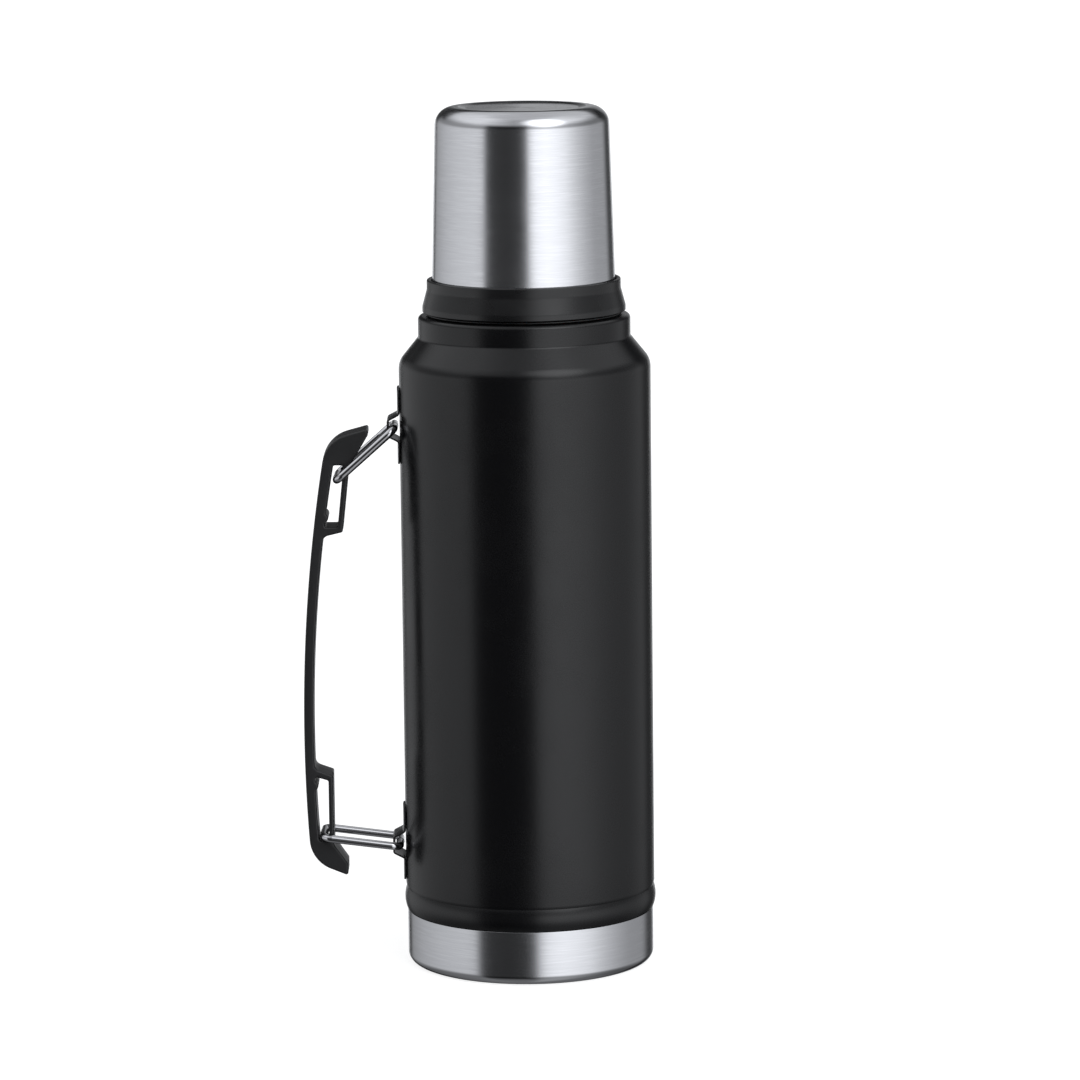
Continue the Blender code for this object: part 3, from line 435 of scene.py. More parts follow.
def lofted(sections, closed=False):
    """A bmesh skinned over rings of points. Unless it is closed, its two ends are filled."""
    shape = bmesh.new()
    rings = [[shape.verts.new(point) for point in section] for section in sections]
    count = len(rings[0])
    pairs = list(zip(rings, rings[1:])) + ([(rings[-1], rings[0])] if closed else [])
    for low, high in pairs:
        for k in range(count):
            shape.faces.new((low[k], low[(k + 1) % count], high[(k + 1) % count], high[k]))
    if not closed:
        shape.faces.new(rings[0])
        shape.faces.new(rings[-1][::-1])
    return shape


def thread_rib(root, crest, start_z, sizes):
    """A bmesh of a helical rib that swells from nothing and fades again."""
    count = round(BODY_AXIS_SIDES * sizes.thread_turns)
    sections = []
    for i in range(count + 1):
        from_ends = (THREAD_SWELL * k / count + THREAD_LEAD for k in (i, count - i))
        depth = (crest - root) * max(math.prod(map(smooth_step, from_ends)), THREAD_LEAST)
        side = [
            (root + depth * out, sizes.thread_height / 2 * up) for out, up in THREAD_PROFILE
        ]
        outline = [(r, -z) for r, z in side] + side[::-1]
        turn = math.tau * sizes.thread_turns * i / count
        rise = start_z + sizes.thread_pitch * sizes.thread_turns * i / count
        sections.append([(r * math.cos(turn), r * math.sin(turn), z + rise) for r, z in outline])
    return lofted(sections)


# ---- Node trees ---------------------------------------------------------------------------------


def add_node(tree, kind, inputs=None, **settings):
    """A node with its settings made. An input is set, or linked when given a node's output."""
    made = tree.nodes.new(kind)
    for name, value in settings.items():
        setattr(made, name, value)
    for name, value in (inputs or {}).items():
        if isinstance(value, bpy.types.NodeSocket):
            tree.links.new(value, made.inputs[name])
        else:
            made.inputs[name].default_value = value
    return made


def worked_out(tree, operation, *values):
    """The output of a Math node."""
    return add_node(tree, "ShaderNodeMath", dict(enumerate(values)), operation=operation).outputs[0]


def times(tree, first, second):
    return worked_out(tree, "MULTIPLY", first, second)


def plus(tree, first, second):
    return worked_out(tree, "ADD", first, second)


def mapped(tree, value, low, high, from_low=0.0, from_high=1.0):
    """A value carried smoothly from one range to another."""
    ranges = {
        "Value": value, "From Min": from_low, "From Max": from_high, "To Min": low, "To Max": high,
    }
    return add_node(
        tree, "ShaderNodeMapRange", ranges, interpolation_type="SMOOTHSTEP",
    ).outputs["Result"]


def share_of(tree, value, none, full):
    """How far a value has come from one level to another, from 0 to 1."""
    return mapped(tree, value, 0.0, 1.0, none, full)


def noise_value(tree, vector, scale, detail=2.0, roughness=0.5, w=None):
    """The value of a Noise texture, in four dimensions when w is given."""
    inputs = {"Vector": vector, "Scale": scale, "Detail": detail, "Roughness": roughness}
    if w is None:
        return add_node(tree, "ShaderNodeTexNoise", inputs).outputs["Fac"]
    inputs["W"] = w
    return add_node(tree, "ShaderNodeTexNoise", inputs, noise_dimensions="4D").outputs["Fac"]


def cell_distance(tree, scale, feature="F1"):
    """The distance that a Voronoi texture gives over a piece."""
    inputs = {"Vector": object_coordinates(tree), "Scale": scale}
    return add_node(tree, "ShaderNodeTexVoronoi", inputs, feature=feature).outputs["Distance"]


def new_group(name, inputs, outputs):
    """(tree, its inputs, a function that links its outputs) of a new node group of plain values."""
    tree = bpy.data.node_groups.new(name, "ShaderNodeTree")
    for label, default in inputs.items():
        socket = tree.interface.new_socket(label, in_out="INPUT", socket_type="NodeSocketFloat")
        socket.default_value = default
    for label in outputs:
        tree.interface.new_socket(label, in_out="OUTPUT", socket_type="NodeSocketFloat")
    entry = tree.nodes.new("NodeGroupInput")
    end = tree.nodes.new("NodeGroupOutput")

    def give(label, value):
        tree.links.new(value, end.inputs[label])

    return tree, entry.outputs, give


def use_group(tree, name, **inputs):
    """The outputs of a node group placed in a material with its own values."""
    node = add_node(tree, "ShaderNodeGroup", node_tree=bpy.data.node_groups[name])
    for label, value in inputs.items():
        node.inputs[label.replace("_", " ").capitalize()].default_value = value
    return node.outputs


def object_coordinates(tree):
    return add_node(tree, "ShaderNodeTexCoord").outputs["Object"]


def make_turned_lines():
    """Fine lines that run round the Z axis, as a lathe or a brushing wheel leaves them."""
    tree, given, give = new_group(
        "Turned lines", {"Across": 5000.0, "Around": 3.0}, ("Lines", "Streaks"),
    )
    place = add_node(tree, "ShaderNodeSeparateXYZ", {0: object_coordinates(tree)}).outputs
    squares = [times(tree, place[i], place[i]) for i in (0, 1)]
    reach = worked_out(tree, "SQRT", plus(tree, *squares))
    safe_reach = worked_out(tree, "MAXIMUM", reach, ON_AXIS)
    round_x, round_y = (
        times(tree, worked_out(tree, "DIVIDE", place[i], safe_reach), given["Around"])
        for i in (0, 1)
    )
    for label, share, detail in (("Lines", 1.0, 3.0), ("Streaks", 0.3, 2.0)):
        pitch = times(tree, given["Across"], share)
        lifted = times(tree, place[2], pitch)
        spot = {0: round_x, 1: round_y, 2: lifted}
        vector = add_node(tree, "ShaderNodeCombineXYZ", spot).outputs[0]
        value = noise_value(tree, vector, 1.0, detail, 0.65, w=times(tree, reach, pitch))
        give(label, share_of(tree, value, *NOISE_SPREAD))


def make_coat_texture():
    """The fine orange peel and grain of a baked powder coat."""
    tree, given, give = new_group(
        "Coat texture", {"Peel scale": 900.0, "Grain scale": 4200.0, "Grain share": 0.35},
        ("Height", "Tone"),
    )
    place = object_coordinates(tree)
    peel = noise_value(tree, place, given["Peel scale"], 1.5, 0.45)
    grain = noise_value(tree, place, given["Grain scale"], 2.0, 0.6)
    give("Height", worked_out(tree, "MULTIPLY_ADD", grain, given["Grain share"], peel))
    give("Tone", share_of(tree, grain, 0.35, 0.65))


def make_mould_texture():
    """The pitted texture that an eroded mould leaves on plastic."""
    tree, given, give = new_group(
        "Mould texture", {"Pit scale": 2200.0, "Flow scale": 60.0}, ("Height", "Flow"),
    )
    place = object_coordinates(tree)
    pits = cell_distance(tree, given["Pit scale"], "SMOOTH_F1")
    fine_scale = times(tree, given["Pit scale"], 2.3)
    give("Height", plus(tree, pits, noise_value(tree, place, fine_scale, 2.0, 0.6)))
    flow = noise_value(tree, place, given["Flow scale"], 2.0)
    give("Flow", share_of(tree, flow, *NOISE_SPREAD))


def make_handling():
    """Soft smudges left by hands, and a little dust on what faces up."""
    tree, given, give = new_group(
        "Handling", {"Smudge scale": 38.0, "Dust scale": 260.0}, ("Smudge", "Dust"),
    )
    place = object_coordinates(tree)
    wide = noise_value(tree, place, given["Smudge scale"], 4.0, 0.62)
    give("Smudge", share_of(tree, wide, 0.38, 0.68))
    normal = add_node(tree, "ShaderNodeNewGeometry").outputs["Normal"]
    facing_up = add_node(tree, "ShaderNodeSeparateXYZ", {0: normal}).outputs[2]
    specks = noise_value(tree, place, given["Dust scale"], 6.0, 0.8)
    lying = share_of(tree, facing_up, 0.25, 1.0)
    give("Dust", times(tree, lying, share_of(tree, specks, 0.55, 0.8)))


def make_edge_sheen():
    """How much painted sheen an outer edge takes as its highlight, broken up so that it isn't even.
    """
    tree, given, give = new_group("Edge wear", {"Reach": 0.06, "Break scale": 500.0}, ("Worn",))
    flat = 0.5  # the pointedness of a flat face
    pointed = add_node(tree, "ShaderNodeNewGeometry").outputs["Pointiness"]
    ranges = {
        "Value": pointed, "From Min": flat + 0.005, "From Max": plus(tree, given["Reach"], flat),
    }
    sheen_mask = add_node(tree, "ShaderNodeMapRange", ranges).outputs["Result"]
    broken = noise_value(tree, object_coordinates(tree), given["Break scale"], 3.0, 0.6)
    give("Worn", times(tree, sheen_mask, mapped(tree, broken, 0.4, 1.0)))


def make_drawn_lines():
    """Lines along a piece's own X axis, as drawing a wire through its die leaves them."""
    tree, given, give = new_group("Drawn lines", {"Across": 9000.0, "Along": 60.0}, ("Lines",))
    place = add_node(tree, "ShaderNodeSeparateXYZ", {0: object_coordinates(tree)}).outputs
    scales = (given["Along"], given["Across"], given["Across"])
    spread = {i: times(tree, place[i], scales[i]) for i in range(3)}
    vector = add_node(tree, "ShaderNodeCombineXYZ", spread).outputs[0]
    give("Lines", share_of(tree, noise_value(tree, vector, 1.0, 2.0), *NOISE_SPREAD))


GROUP_MAKERS = (
    make_turned_lines, make_coat_texture, make_mould_texture, make_handling, make_edge_sheen,
    make_drawn_lines,
)

# ---- Materials ----------------------------------------------------------------------------------


def new_material(name, **values):
    """(material, its node tree, its Principled shader) with constant values on the shader."""
    material = bpy.data.materials.new(name)
    material.use_nodes = True
    shader = material.node_tree.nodes["Principled BSDF"]
    for label, value in values.items():
        shader.inputs[label.replace("_", " ").title().replace("Ior", "IOR")].default_value = value
    return material, material.node_tree, shader


def mixed_colour(tree, fac, first, second):
    """A colour between two others."""
    inputs = {MIX_FAC: fac, MIX_FIRST: first, MIX_SECOND: second}
    return add_node(tree, "ShaderNodeMix", inputs, data_type="RGBA").outputs[MIX_RESULT]


def tinted(tree, base, fac, change):
    """The base colour, lighter or darker by a share where fac is 1."""
    lit = [min(1, channel * (1 + change)) for channel in base]
    return mixed_colour(tree, fac, (*base, 1), (*lit, 1))


def blended(tree, first, second, mask, most):
    """A colour socket mixed towards a plain colour, up to a share of it where the mask is 1."""
    return mixed_colour(tree, times(tree, mask, most), first, (*second, 1))


def coloured(tree, shader, colour):
    """Feeds a colour to the shader."""
    tree.links.new(colour, shader.inputs["Base Color"])


def bumped(tree, shader, height, distance, strength=1.0):
    """Feeds a height to the shader's normal."""
    inputs = {"Height": height, "Distance": distance, "Strength": strength}
    normal = add_node(tree, "ShaderNodeBump", inputs).outputs["Normal"]
    tree.links.new(normal, shader.inputs["Normal"])


def roughened(tree, shader, even, spread, *masks):
    """Roughness that varies round its even value as the masks do."""
    total = masks[0]
    for mask in masks[1:]:
        total = plus(tree, total, mask)
    value = mapped(tree, total, even - spread, even + spread, 0.0, float(len(masks)))
    tree.links.new(value, shader.inputs["Roughness"])


def powder_coat(name, base, even=0.25, peel=1000.0):
    """A satin powder coat: fine orange peel, grain, faint smudges, and a painted sheen on its outer
    edges.
    """
    material, tree, shader = new_material(name, ior=1.435)
    coat = use_group(tree, "Coat texture", peel_scale=peel)
    handled = use_group(tree, "Handling")
    sheen_mask = use_group(tree, "Edge wear")["Worn"]
    plain = tinted(tree, base, coat["Tone"], 0.35)
    dusted = blended(tree, plain, COAT_DUST, handled["Dust"], 0.02)
    # Paler along outer edges: a painted sheen that stands for their highlight.
    coloured(tree, shader, blended(tree, dusted, COAT_SHEEN, sheen_mask, 0.12))
    roughened(tree, shader, even, 0.045, coat["Tone"], handled["Smudge"])
    bumped(tree, shader, coat["Height"], 0.012 * MM)
    return material


def brushed_steel(name, base, even=0.135, across=5200.0, anisotropic=0.8):
    """Bare steel brushed round its axis."""
    material, tree, shader = new_material(name, metallic=1.0, anisotropic=anisotropic)
    brushed = use_group(tree, "Turned lines", across=across)
    smudge = use_group(tree, "Handling", smudge_scale=26.0)["Smudge"]
    lined = plus(tree, times(tree, brushed["Streaks"], 0.7), brushed["Lines"])
    dull = tuple(0.95 * channel for channel in base)
    coloured(tree, shader, blended(tree, tinted(tree, base, lined, -0.1), dull, smudge, 0.4))
    roughened(tree, shader, even, 0.035, brushed["Lines"], brushed["Streaks"], smudge)
    height = worked_out(tree, "MULTIPLY_ADD", brushed["Streaks"], 0.5, brushed["Lines"])
    bumped(tree, shader, height, 0.0008 * MM)
    around = add_node(tree, "ShaderNodeTangent", direction_type="RADIAL", axis="Z")
    tree.links.new(around.outputs["Tangent"], shader.inputs["Tangent"])
    return material


def drawn_wire(name, base):
    """Polished wire with faint lines along it."""
    material, tree, shader = new_material(name, metallic=1.0)
    lines = use_group(tree, "Drawn lines")["Lines"]
    smudge = use_group(tree, "Handling", smudge_scale=120.0)["Smudge"]
    coloured(tree, shader, tinted(tree, base, lines, -0.12))
    roughened(tree, shader, 0.09, 0.04, lines, smudge)
    bumped(tree, shader, lines, 0.002 * MM)
    return material


def moulded_plastic(name, base, even=0.4, pits=2200.0, depth=0.012 * MM):
    """A moulded plastic: pitted texture, flow marks, and a painted sheen on its outer edges."""
    material, tree, shader = new_material(name)
    mould = use_group(tree, "Mould texture", pit_scale=pits)
    handled = use_group(tree, "Handling", smudge_scale=55.0)
    sheen_mask = use_group(tree, "Edge wear")["Worn"]
    flowing = tinted(tree, base, mould["Flow"], 0.18)
    # A paler tone on the outer edges is a painted sheen that stands for their highlight.
    sheen_tone = tuple(min(1.0, 3.2 * channel + 0.01) for channel in base)
    with_sheen = blended(tree, flowing, sheen_tone, sheen_mask, 0.3)
    coloured(tree, shader, blended(tree, with_sheen, PLASTIC_DUST, handled["Dust"], 0.02))
    roughened(tree, shader, even, 0.05, mould["Flow"], handled["Smudge"])
    bumped(tree, shader, mould["Height"], depth)
    return material


def creased_foil(name, base):
    """Thin copper foil with creases and a dull bloom."""
    material, tree, shader = new_material(name, metallic=1.0)
    smudge = use_group(tree, "Handling", smudge_scale=60.0)["Smudge"]
    coloured(tree, shader, tinted(tree, base, smudge, -0.3))
    roughened(tree, shader, 0.32, 0.1, smudge)
    bumped(tree, shader, cell_distance(tree, 150.0, "DISTANCE_TO_EDGE"), 0.6 * MM, strength=0.5)
    return material


def cast_metal(name, base):
    """The rough grey metal of a getter or a solder bead."""
    material, tree, shader = new_material(name, metallic=1.0)
    coat = use_group(tree, "Coat texture", peel_scale=1500.0, grain_scale=5200.0)
    coloured(tree, shader, tinted(tree, base, coat["Tone"], -0.35))
    roughened(tree, shader, 0.5, 0.12, coat["Tone"])
    bumped(tree, shader, coat["Height"], 0.06 * MM)
    return material


def blown_foam(name, base):
    """Rigid white foam with open cells."""
    material, tree, shader = new_material(name, roughness=0.9)
    cells = cell_distance(tree, 1100.0)
    coloured(tree, shader, tinted(tree, base, share_of(tree, cells, 0.1, 0.7), -0.25))
    bumped(tree, shader, cells, 0.2 * MM)
    return material


def cast_silicone(name, base):
    """Milky silicone, a little translucent."""
    material, tree, shader = new_material(name, subsurface_weight=0.25, subsurface_scale=2 * MM)
    smudge = use_group(tree, "Handling", smudge_scale=180.0)["Smudge"]
    mould = use_group(tree, "Mould texture", pit_scale=3500.0)
    coloured(tree, shader, tinted(tree, base, smudge, -0.12))
    roughened(tree, shader, 0.48, 0.08, smudge, mould["Flow"])
    bumped(tree, shader, mould["Height"], 0.01 * MM)
    return material


# Each finish: what makes it, its colour's name, and what sets it apart from the plain kind.
FINISHES = {
    "powder_coat": (powder_coat, "paint", {}),
    "bracket_coat": (powder_coat, "paint", {"even": 0.3, "peel": 1600.0}),
    "brushed_steel": (brushed_steel, "steel", {}),
    "inner_steel": (
        brushed_steel, "inner_steel", {"even": 0.3, "across": 2600.0, "anisotropic": 0.5},
    ),
    "polished_wire": (drawn_wire, "wire", {}),
    "collar_plastic": (
        moulded_plastic, "black_plastic", {"even": 0.3, "pits": 3000.0, "depth": 0.005 * MM},
    ),
    "stopper_plastic": (moulded_plastic, "black_plastic", {"pits": 2600.0}),
    "handle_plastic": (moulded_plastic, "handle_plastic", {"pits": 1900.0, "depth": 0.016 * MM}),
    "cup_plastic": (moulded_plastic, "cup_plastic", {"pits": 3000.0, "depth": 0.008 * MM}),
    "silicone": (cast_silicone, "silicone", {}),
    "dark_silicone": (cast_silicone, "black_plastic", {}),
    "copper_foil": (creased_foil, "copper", {}),
    "getter_metal": (cast_metal, "solder", {}),
    "foam": (blown_foam, "foam", {}),
}


def finish_named(finish):
    """The material of that finish, made the first time that it is asked for."""
    name = f"flask_{finish}"
    make, colour_name, values = FINISHES[finish]
    colours = bpy.context.scene.flask_colours
    return bpy.data.materials.get(name) or make(name, getattr(colours, colour_name), **values)


# ---- Body pieces --------------------------------------------------------------------------------


def ring_section(inner, outer, low, high, corner, steps):
    """The outline of a ring of rectangular section with rounded corners."""
    return rounded([
        (inner, low, corner), (outer, low, corner), (outer, high, corner), (inner, high, corner),
    ], closed=True, steps=steps)


def disc_section(reach, low, high, low_corner, high_corner, steps):
    """The outline of a solid disc with rounded edges."""
    return rounded([
        (0, low, 0), (reach, low, low_corner), (reach, high, high_corner), (0, high, 0),
    ], steps=steps)


def build_outer_shell(scene):
    """The painted shell: foot, rolled bead, body, cone, ring and neck."""
    sizes = scene.flask_body
    bead_radius = radius("outer_shell")
    body_radius = bead_radius - sizes.bead_step
    ring_radius = radius("collar_gasket") + sizes.ring_overhang
    ring_top = bottom("collar_gasket") - FIT_GAP
    ring_foot = ring_top - sizes.ring_height
    shoulder = ring_foot - (body_radius - ring_radius) / sizes.cone_slope
    neck_radius = radius("stopper_seal")
    stub_radius = radius("base_cup") - sizes.base_wall - FIT_GAP
    hem = top("base_cup") + FIT_GAP
    hem_round = 0.2 * MM
    bead_z = hem + sizes.bead_height / 2
    tilt = math.degrees(math.asin(sizes.bead_height / 2 / sizes.bead_round))
    bead = arc((bead_radius - sizes.bead_round, bead_z), sizes.bead_round, -tilt, tilt, steps=16)
    foot = rounded([
        (stub_radius, bottom("outer_shell"), 0), (stub_radius, hem, hem_round / 2),
        (bead[0][0], hem, hem_round), bead[1] + (0,),
    ], steps=3)
    side = rounded([
        (body_radius, bead[-1][1] + sizes.bead_run_out, 0),
        (body_radius, shoulder, sizes.shoulder_round),
        (ring_radius, ring_foot, sizes.ring_round),
        (ring_radius, ring_top, sizes.ring_round),
        (neck_radius, ring_top, sizes.ring_round),
        (neck_radius, top("outer_shell"), 0),
    ], steps=12)
    line = divided(foot + bead[2:] + side, longest=12 * MM)
    add_piece("painted_shell", turned(walled(line, sizes.shell_wall)))


def build_base_cup(scene):
    """The bright cup over the shell's foot, with a groove pressed in its underside."""
    sizes = scene.flask_body
    reach = radius("base_cup")
    groove = sizes.groove_depth
    line = rounded([
        (0, 0, 0),
        (sizes.groove_inner, 0, groove),
        (sizes.groove_inner + groove, groove, groove / 2),
        (sizes.groove_outer - groove, groove, groove / 2),
        (sizes.groove_outer, 0, groove),
        (reach, 0, sizes.base_round),
        (reach, top("base_cup"), 0),
    ], steps=10)
    outline = walled(divided(line, longest=6 * MM), sizes.base_wall)
    add_piece("steel_base", turned(outline), bevel=0.1 * MM)


def build_neck_collar(scene):
    """The collar with its flared skirt and threaded sleeve, and the gasket under it."""
    sizes = scene.flask_collar
    foot_radius = radius("neck_collar")
    collar_radius = foot_radius - sizes.flare
    land = collar_radius - sizes.land
    foot = bottom("neck_collar")
    skirt_top = foot + sizes.height
    flare_low, flare_high = foot + 1.9 * MM, foot + 8 * MM
    floor = bottom("cup_shell") - 2 * FIT_GAP
    inner = radius("stopper_seal") + FIT_GAP
    sleeve = inner + sizes.sleeve_wall
    sleeve_top = top("neck_collar")
    outline = rounded([
        (inner, foot, 0),
        (foot_radius, foot, sizes.foot_round),
        (foot_radius, flare_low, sizes.flare_round),
        (collar_radius, flare_high, sizes.flare_round),
        (collar_radius, skirt_top, sizes.land / 3),
        (land, skirt_top, sizes.land / 3),
        (land, floor, sizes.land / 4),
        (sleeve, floor, sizes.land / 4),
        (sleeve, sleeve_top, sizes.sleeve_wall / 4),
        (inner, sleeve_top, sizes.sleeve_wall / 6),
    ], closed=True, steps=8)
    add_piece("collar_moulding", turned(outline))
    start = floor + sizes.thread_height + 2 * FIT_GAP
    rib = thread_rib(sleeve - THREAD_ROOT, sleeve + sizes.thread_depth, start, sizes)
    add_piece("collar_thread", rib)
    low, high = bottom("collar_gasket"), top("collar_gasket")
    gasket_inner = radius("stopper_seal") + 2.4 * MM
    gasket = ring_section(
        gasket_inner, radius("collar_gasket"), low, high, corner=(high - low) / 3, steps=4,
    )
    add_piece("collar_gasket_ring", turned(gasket))


def build_vessel(scene):
    """The drinking vessel and what lies in the vacuum round it."""
    wall = 0.4 * MM
    foil_room = 0.5 * MM
    bare_height = 13.8 * MM  # from the foil's top to the shoulder
    neck_slope = 0.8
    foot_round, neck_round, lip_round = 9 * MM, 5 * MM, 0.5 * MM
    reach = radius("liner_foil") - foil_room
    neck = radius("stopper_seal") - scene.flask_body.shell_wall - FIT_GAP
    lip = top("inner_liner") - wall
    shoulder = top("liner_foil") + bare_height
    line = rounded([
        (0, bottom("inner_liner"), 0),
        (reach, bottom("inner_liner"), foot_round),
        (reach, shoulder, foot_round),
        (neck, shoulder + (reach - neck) * neck_slope, neck_round),
        (neck, lip, lip_round),
        (radius("stopper_seal"), lip, 0),
    ], steps=12)
    add_piece("drinking_vessel", turned(walled(divided(line, longest=10 * MM), wall)))
    build_bottom_disc()
    build_getter()
    build_vent_solder()
    build_foil(reach + FIT_GAP)


def build_bottom_disc():
    """The disc that closes the shell's foot, dished round the vent."""
    low = bottom("outer_bottom")
    reach = radius("outer_bottom")
    sheet = 0.6 * MM
    vent, well_low, well_high = 1.5 * MM, 5.4 * MM, 7 * MM  # radii
    floor = low + 1.6 * MM
    bend, rim_round = 0.8 * MM, 1.5 * MM
    line = rounded([
        (vent, low, 0), (well_low, low, bend), (well_high, floor, bend),
        (reach, floor, rim_round), (reach, top("outer_bottom"), 0),
    ], steps=8)
    add_piece("bottom_disc", turned(walled(divided(line, longest=8 * MM), sheet)))


def build_getter():
    """The getter pill on the bottom disc."""
    low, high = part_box("getter")
    reach = (high.y - low.y) / 2
    pill = disc_section(
        reach, low.z, high.z, low_corner=0.3 * MM, high_corner=0.6 * MM, steps=6,
    )
    place = Matrix.Translation((((low + high) / 2).x, 0, 0))
    add_piece("getter_pill", turned(pill, SMALL_SIDES), place)


def build_vent_solder():
    """The solder bead: a plug in the vent and a drop that has run out under it."""
    low, high = bottom("vacuum_seal"), top("vacuum_seal")
    spread = radius("vacuum_seal")
    plug, plug_foot = 1.2 * MM, high - 0.6 * MM
    drop, drop_z = 0.8 * spread, low + 0.3 * MM
    sharp, soft, drop_round = 0.1 * MM, 0.2 * MM, 1 * MM
    bead = rounded([
        (0, high, 0), (plug, high, soft), (plug, plug_foot, sharp),
        (spread, plug_foot, soft), (drop, drop_z, drop_round), (0, low, 0),
    ], steps=6)
    add_piece("vent_solder", turned(bead, SMALL_SIDES))


def build_foil(inner):
    """Copper foil wrapped once round the vessel. It wrinkles, and leaves a narrow slit."""
    low, high = bottom("liner_foil"), top("liner_foil")
    slit = math.radians(8)
    thickness = 0.16 * MM
    wrinkle = 0.02 * MM
    round_scale, up_scale = 9, 90  # how fine the wrinkles are
    steps = BODY_AXIS_SIDES
    rows = 60
    heights = [low + (high - low) * k / rows for k in range(rows + 1)]
    sections = []
    for i in range(steps + 1):
        angle = slit / 2 + (math.tau - slit) * i / steps
        across, ahead = math.cos(angle), math.sin(angle)
        section = []
        for side, zs in ((thickness, heights[::-1]), (0.0, heights)):
            for z in zs:
                place = (round_scale * across, round_scale * ahead, z * up_scale)
                crease = noise.noise(Vector(place))
                r = inner + side + wrinkle * (1 + crease)
                section.append((r * across, r * ahead, z))
        sections.append(section)
    add_piece("vessel_foil", lofted(sections))


# ---- Cup ----------------------------------------------------------------------------------------


def cup_line(sizes, inset, rim_z, top_z):
    """A tapered cup's outside, from the middle of its dished top down to its rim."""
    rim_radius = radius("cup_shell") - inset
    top_radius = rim_radius - sizes.taper
    corner = sizes.corner_round - inset
    dish = min(sizes.dish_radius, top_radius - corner)
    depth = sizes.dish_depth
    return divided(rounded([
        (0, top_z - depth, 0),
        (dish - 5 * depth, top_z - depth, 4 * depth),
        (dish, top_z, 2 * depth),
        (top_radius, top_z, corner),
        (rim_radius, rim_z, 0),
    ], steps=16), longest=5 * MM)


def build_cup(scene):
    """The steel cup, its plastic liner and the liner's thread."""
    sizes = scene.flask_cup
    rim_z = bottom("cup_shell")
    steel_line = cup_line(sizes, 0, rim_z, top("cup_shell"))
    add_piece("steel_cup", turned(walled(steel_line, -sizes.wall)), bevel=0.12 * MM)
    inset = sizes.wall + FIT_GAP
    liner_line = cup_line(sizes, inset, rim_z, top("cup_shell") - inset)
    add_piece("cup_lining", turned(walled(liner_line, -sizes.liner_wall)), bevel=0.2 * MM)
    threads = scene.flask_collar
    thread_play = 0.5 * MM
    bore = radius("cup_shell") - inset - sizes.liner_wall
    sleeve = radius("stopper_seal") + FIT_GAP + threads.sleeve_wall
    crest = sleeve + threads.thread_depth + thread_play
    start = rim_z + threads.thread_height + threads.thread_pitch / 2
    add_piece("cup_thread", thread_rib(bore + THREAD_ROOT, crest, start, threads))


# ---- Stopper ------------------------------------------------------------------------------------


def build_stopper(scene):
    """The stopper: plug with thread and pouring channels, O-ring, washer, foam and knob."""
    sizes = scene.flask_stopper
    ring_z = (bottom("stopper_o_ring") + top("stopper_o_ring")) / 2
    ring_round = (top("stopper_o_ring") - bottom("stopper_o_ring")) / 2
    ring_radius = radius("stopper_o_ring") - ring_round
    core = radius("stopper_o_ring") - O_RING_PROUD
    build_plug(sizes, core, ring_z, ring_round, ring_radius)
    thread_z = ring_z + (ring_round + FIT_GAP) + sizes.slot_height / 2
    crest = core + 1.5 * MM
    add_piece("stopper_thread", thread_rib(core - THREAD_ROOT, crest, thread_z, scene.flask_collar))
    circle = arc((ring_radius, ring_z), ring_round, 0, 360, steps=24)[:-1]
    add_piece("o_ring", turned(circle))
    washer = ring_section(
        core + 2 * FIT_GAP, radius("stopper_seal"), bottom("stopper_seal"), top("stopper_seal"),
        corner=0.35 * MM, steps=5,
    )
    add_piece("lip_washer", turned(washer))
    foam_edge = 0.6 * MM
    foam = disc_section(
        radius("stopper_foam"), bottom("stopper_foam"), top("stopper_foam"), foam_edge, foam_edge,
        steps=5,
    )
    add_piece("foam_core", turned(divided(foam, longest=2 * MM)))
    build_knob(sizes)


def build_plug(sizes, core, ring_z, ring_round, ring_radius):
    """The hollow plug under its flange, with a groove for the O-ring and two pouring channels."""
    half = ring_round + FIT_GAP
    groove = ring_radius - ring_round - FIT_GAP
    flange_radius = radius("stopper_body")
    low, flange_top = bottom("stopper_body"), top("stopper_body")
    flange_low = flange_top - sizes.flange_height
    bore = groove - sizes.wall
    groove_round, flange_root, flange_round = 0.3 * MM, 0.4 * MM, 0.5 * MM
    nose_round, bore_round = 2 * MM, 1 * MM
    outline = divided(rounded([
        (0, low, 0),
        (core, low, nose_round),
        (core, ring_z - half, groove_round),
        (groove, ring_z - half, groove_round),
        (groove, ring_z + half, groove_round),
        (core, ring_z + half, groove_round),
        (core, flange_low, flange_root),
        (flange_radius, flange_low, flange_round),
        (flange_radius, flange_top, flange_round),
        (bore, flange_top, groove_round),
        (bore, low + sizes.wall, bore_round),
        (0, low + sizes.wall, 0),
    ], steps=6), longest=0.8 * MM)
    slot_middle = ring_z + ring_round + sizes.wall + sizes.slot_height / 2
    slot_edge = 0.8 * MM
    bore_skin = 0.5 * MM

    def with_slots(r, z, angle):
        """The radius with the two pouring channels let into the plug's outside."""
        if not bore + bore_skin < r <= core + ON_AXIS or z > flange_low - slot_edge:
            return r
        aside = abs(r * math.sin(angle))
        across = smooth_step((sizes.slot_width / 2 - aside) / slot_edge)
        along = smooth_step((sizes.slot_height / 2 - abs(z - slot_middle)) / slot_edge)
        return r - sizes.slot_depth * across * along

    add_piece("stopper_plug", turned(outline, vary=with_slots))


